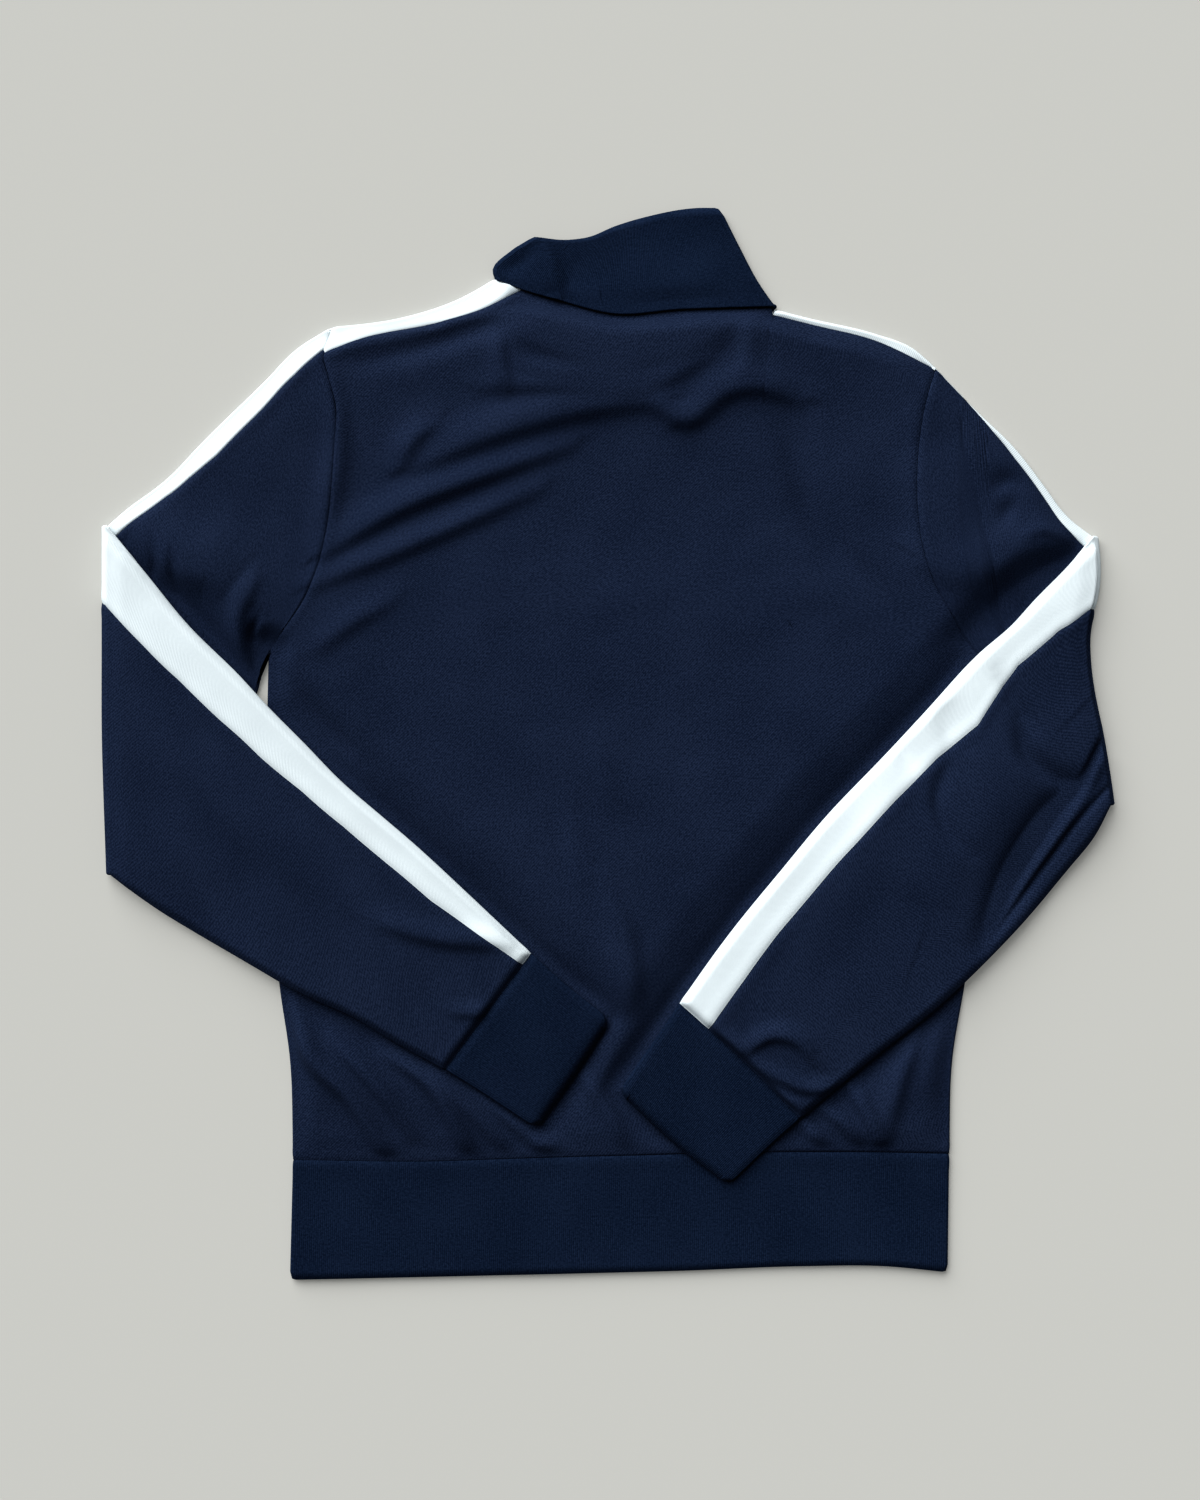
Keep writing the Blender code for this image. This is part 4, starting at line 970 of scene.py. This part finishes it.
def open_band(name, back_plan, front_plan, size, high, hidden_steps, relief, looks):
    """A rib band round the neck or the hem, flattened, and open at the centre front.

    size is its width and height, and hidden_steps how many steps each side of its front has.
    """
    low = RIB_WALL / 2
    edge = RIB_WALL / 2 + (high - low) / 2
    wide, tall = size
    shown = rib_columns(wide)
    patterns = (hidden_steps, TURN_STEPS, TURN_STEPS, shown, TURN_STEPS)
    grid = []
    for share in graded(tall, RIB_ROWS, near_end=False):
        share = max(share, SEAM / tall)
        ends = patch_ends(front_plan, share)[0]
        ahead = patch_ends(front_plan, share + (BAND_AHEAD if share < 0.5 else -BAND_AHEAD))[0]
        back_ends, back_width = patch_ends(back_plan, share)
        oblique = [slant(back_ends[1] - back_ends[0], heading) for heading in ahead - ends]
        line = patch(*front_plan, np.linspace(0, 1, BAND_SEARCH + 1), share)
        middle = float(distance_to(CENTRE, line[:, 0], line[:, 1])[0].argmin()) / BAND_SEARCH
        front_width = length(line)
        flat = {1: back_width - sum(oblique) * edge, -1: front_width - sum(oblique) * edge}
        centre = 1 + (middle * front_width - oblique[0] * edge) / flat[-1]
        gap = ZIP_GAP / flat[-1]
        place = np.concatenate((spread([-centre + gap, -1, 0, 1, 2, 3], patterns),
                                spread([-3, -2, -centre - gap], (TURN_STEPS, hidden_steps))[1:]))
        row = np.zeros((len(place), 3))
        for way, plan, width in ((1, back_plan, back_width), (-1, front_plan, front_width)):
            points = tube_row(plan, place, flat[way], oblique, (low, high), share, (width, tall), BAND_CORNER)
            row = np.where(((place > 0) == (way > 0))[:, None], points, row)
        grid.append(row)
    grid = np.array(grid)
    loose = np.clip(np.minimum(place, 3 - place), 0, 1) * (place > 0)
    grid[..., 2] += loose * relief(grid[..., 0], grid[..., 1])
    grid = tuck(grid, -1, under=("first",))
    first = hidden_steps + TURN_STEPS
    grid = ribbed(grid, -1, range(first, first + shown + 2 * TURN_STEPS))
    shell(name, "band", grid, looks[name], RIB_KNIT)


def make_collar(looks):
    folds = COLLAR_LEFT, COLLAR_RIGHT
    back = ([(-74, 308), *NECK], COLLAR_EDGE, *folds)
    front = (FRONT_NECK, COLLAR_FRONT_EDGE, *folds)

    def relief(x, y):
        return COLLAR_LOFT + unevenness(COLLAR_WAVES, x, y) + ridges(COLLAR_FOLDS, x, y)

    open_band("collar", back, front, COLLAR_SIZE, COLLAR_HIGH, COLLAR_STEPS, relief, looks)


def make_hem(looks):
    plan = (HEM, HEM_EDGE, [HEM[0], HEM_EDGE[0]], [HEM[-1], HEM_EDGE[-1]])

    def relief(x, y):
        return BAND_LOFT + unevenness(HEM_WAVES, x, y)

    open_band("hem_rib", plan, plan, HEM_SIZE, HEM_HIGH, HEM_STEPS, relief, looks)


def new_look(name, colour, roughness):
    """A material and its Principled shader with the fixed values set."""
    look = bpy.data.materials.new(name)
    look.use_nodes = True
    shader = look.node_tree.nodes["Principled BSDF"]
    shader.inputs["Base Color"].default_value = (*colour, 1.0)
    shader.inputs["Roughness"].default_value = roughness
    shader.inputs["Specular IOR Level"].default_value = SHEEN
    return look, shader


def feed(look, socket, value):
    """Links a node's input to another node's output, or sets it to a value."""
    if isinstance(value, bpy.types.NodeSocket):
        look.node_tree.links.new(value, socket)
    else:
        socket.default_value = value


def add_node(look, kind, settings=(), **inputs):
    node = look.node_tree.nodes.new(kind)
    for name, value in dict(settings).items():
        setattr(node, name, value)
    for name, value in inputs.items():
        feed(look, node.inputs[name.replace("_", " ")], value)
    return node


def add_math(look, operation, *values):
    node = add_node(look, "ShaderNodeMath", {"operation": operation})
    for socket, value in zip(node.inputs, values):
        feed(look, socket, value)
    return node.outputs["Value"]


def knit_look(name, colour, light, roughness, pitch, angle, depth, contrast, grain):
    """Knit with fine lines across the cloth: pitch is their spacing and angle their turn from its length.

    Its tone runs from colour to light, by the lines' contrast, by a grain and by broad soft patches.
    """
    look, shader = new_look(name, colour, roughness)
    uv = add_node(look, "ShaderNodeUVMap", {"uv_map": "knit"}).outputs["UV"]
    turned = add_node(look, "ShaderNodeMapping", Vector=uv, Rotation=(0.0, 0.0, math.radians(angle)))
    lines = add_node(look, "ShaderNodeTexWave", {"wave_type": "BANDS", "bands_direction": "X"},
                     Vector=turned.outputs["Vector"], Scale=math.pi / (10 * pitch), Distortion=0.6,
                     Detail=1.0, Detail_Scale=0.4)
    fuzz = add_node(look, "ShaderNodeTexNoise", Vector=uv, Scale=0.7, Detail=3.0, Roughness=0.8)
    broad = add_node(look, "ShaderNodeTexNoise", Vector=uv, Scale=0.02, Detail=2.0)
    tone = 0.5
    for source, strength in ((lines, contrast), (fuzz, grain), (broad, PATCHES)):
        centred = add_math(look, "SUBTRACT", source.outputs["Fac"], 0.5)
        tone = add_math(look, "MULTIPLY_ADD", centred, strength, tone)
    tint = add_node(look, "ShaderNodeMix", {"data_type": "RGBA", "clamp_factor": True})
    factor, first, last = (s for s in tint.inputs if s.identifier in ("Factor_Float", "A_Color", "B_Color"))
    feed(look, factor, tone)
    feed(look, first, (*colour, 1.0))
    feed(look, last, (*light, 1.0))
    feed(look, shader.inputs["Base Color"], [s for s in tint.outputs if s.type == "RGBA"][0])
    bump = add_node(look, "ShaderNodeBump", Height=lines.outputs["Fac"], Strength=0.6, Distance=depth * MM)
    feed(look, shader.inputs["Normal"], bump.outputs["Normal"])
    return look


def make_looks():
    rib = {"roughness": 0.9, "pitch": RIB_PITCH, "angle": 90, "depth": 0.0, "contrast": 0.0, "grain": 4.0}
    plain_rib_look = knit_look("rib knit", (0.0062, 0.0140, 0.0330), (0.0176, 0.0310, 0.0630), **rib)
    return {
        "navy": knit_look("navy knit", (0.0098, 0.0175, 0.0390), (0.0268, 0.0402, 0.0774), roughness=0.85,
                          pitch=1.4, angle=45, depth=0.1, contrast=0.6, grain=5.5),
        "rib": plain_rib_look,
        "hem_rib": plain_rib_look,
        # The collar's rib knit is a lighter copy of the rib knit: painted light, for the light that the
        # collar's slopes catch.
        "collar": knit_look("rib knit painted lighter", (0.0072, 0.0160, 0.0375), (0.0204, 0.0356, 0.0720), **rib),
        "white": knit_look("white knit", (0.650, 0.715, 0.735), (0.690, 0.755, 0.780), roughness=0.8,
                           pitch=1.25, angle=90, depth=0.12, contrast=0.3, grain=2.0),
        "zip": new_look("zip", (0.012, 0.014, 0.022), 0.5)[0],
    }


def make_stage():
    bpy.ops.mesh.primitive_plane_add(size=FLOOR_SIZE, location=(0.0, 0.0, -FLOOR_DROP))
    floor = bpy.context.object
    floor.name = "floor"
    # the floor glows: painted fill light that lifts its shadows to FLOOR_PAINTED_FILL of its tone
    look, shader = new_look("floor", tuple((1 - FLOOR_PAINTED_FILL) * tone for tone in FLOOR_COLOUR), 0.9)
    shader.inputs["Emission Color"].default_value = (*FLOOR_COLOUR, 1.0)
    shader.inputs["Emission Strength"].default_value = FLOOR_PAINTED_FILL * FLOOR_LIGHT
    floor.data.materials.append(look)
    data = bpy.data.lights.new("key", "SUN")
    data.energy = KEY_STRENGTH
    data.angle = math.radians(KEY_SPREAD)
    lamp = new_object("key", data)
    lamp.rotation_euler = (math.radians(90 - KEY_ELEVATION), 0.0, math.radians(KEY_BEARING))
    world = bpy.data.worlds.new("studio")
    world.use_nodes = True
    sky = world.node_tree.nodes["Background"].inputs
    sky["Color"].default_value = (*SKY_COLOUR, 1.0)
    sky["Strength"].default_value = AMBIENT
    bpy.context.scene.world = world
    bpy.context.scene.view_settings.view_transform = "Standard"
    bpy.context.scene.view_settings.look = "High Contrast"


def make_camera():
    data = bpy.data.cameras.new("camera")
    data.sensor_width = 36.0
    data.lens = data.sensor_width * (CAMERA_HEIGHT - VIEW_HEIGHT) / VIEW_LENGTH
    camera = new_object("camera", data)
    camera.location = (*VIEW_CENTRE, CAMERA_HEIGHT)
    bpy.context.scene.camera = camera


for old in ("Cube", "Light", "Camera"):
    if old in bpy.data.objects:
        bpy.data.objects.remove(bpy.data.objects[old])
looks = make_looks()
make_camera()
make_stage()
make_back(looks)
make_collar(looks)
make_hem(looks)
for name in SIDES:
    for make in (make_front, make_shoulder, make_sleeve, make_cuff):
        make(name, looks)
for node in ("zip", "zip_slider"):
    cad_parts[node].data.materials.clear()
    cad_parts[node].data.materials.append(looks["zip"])
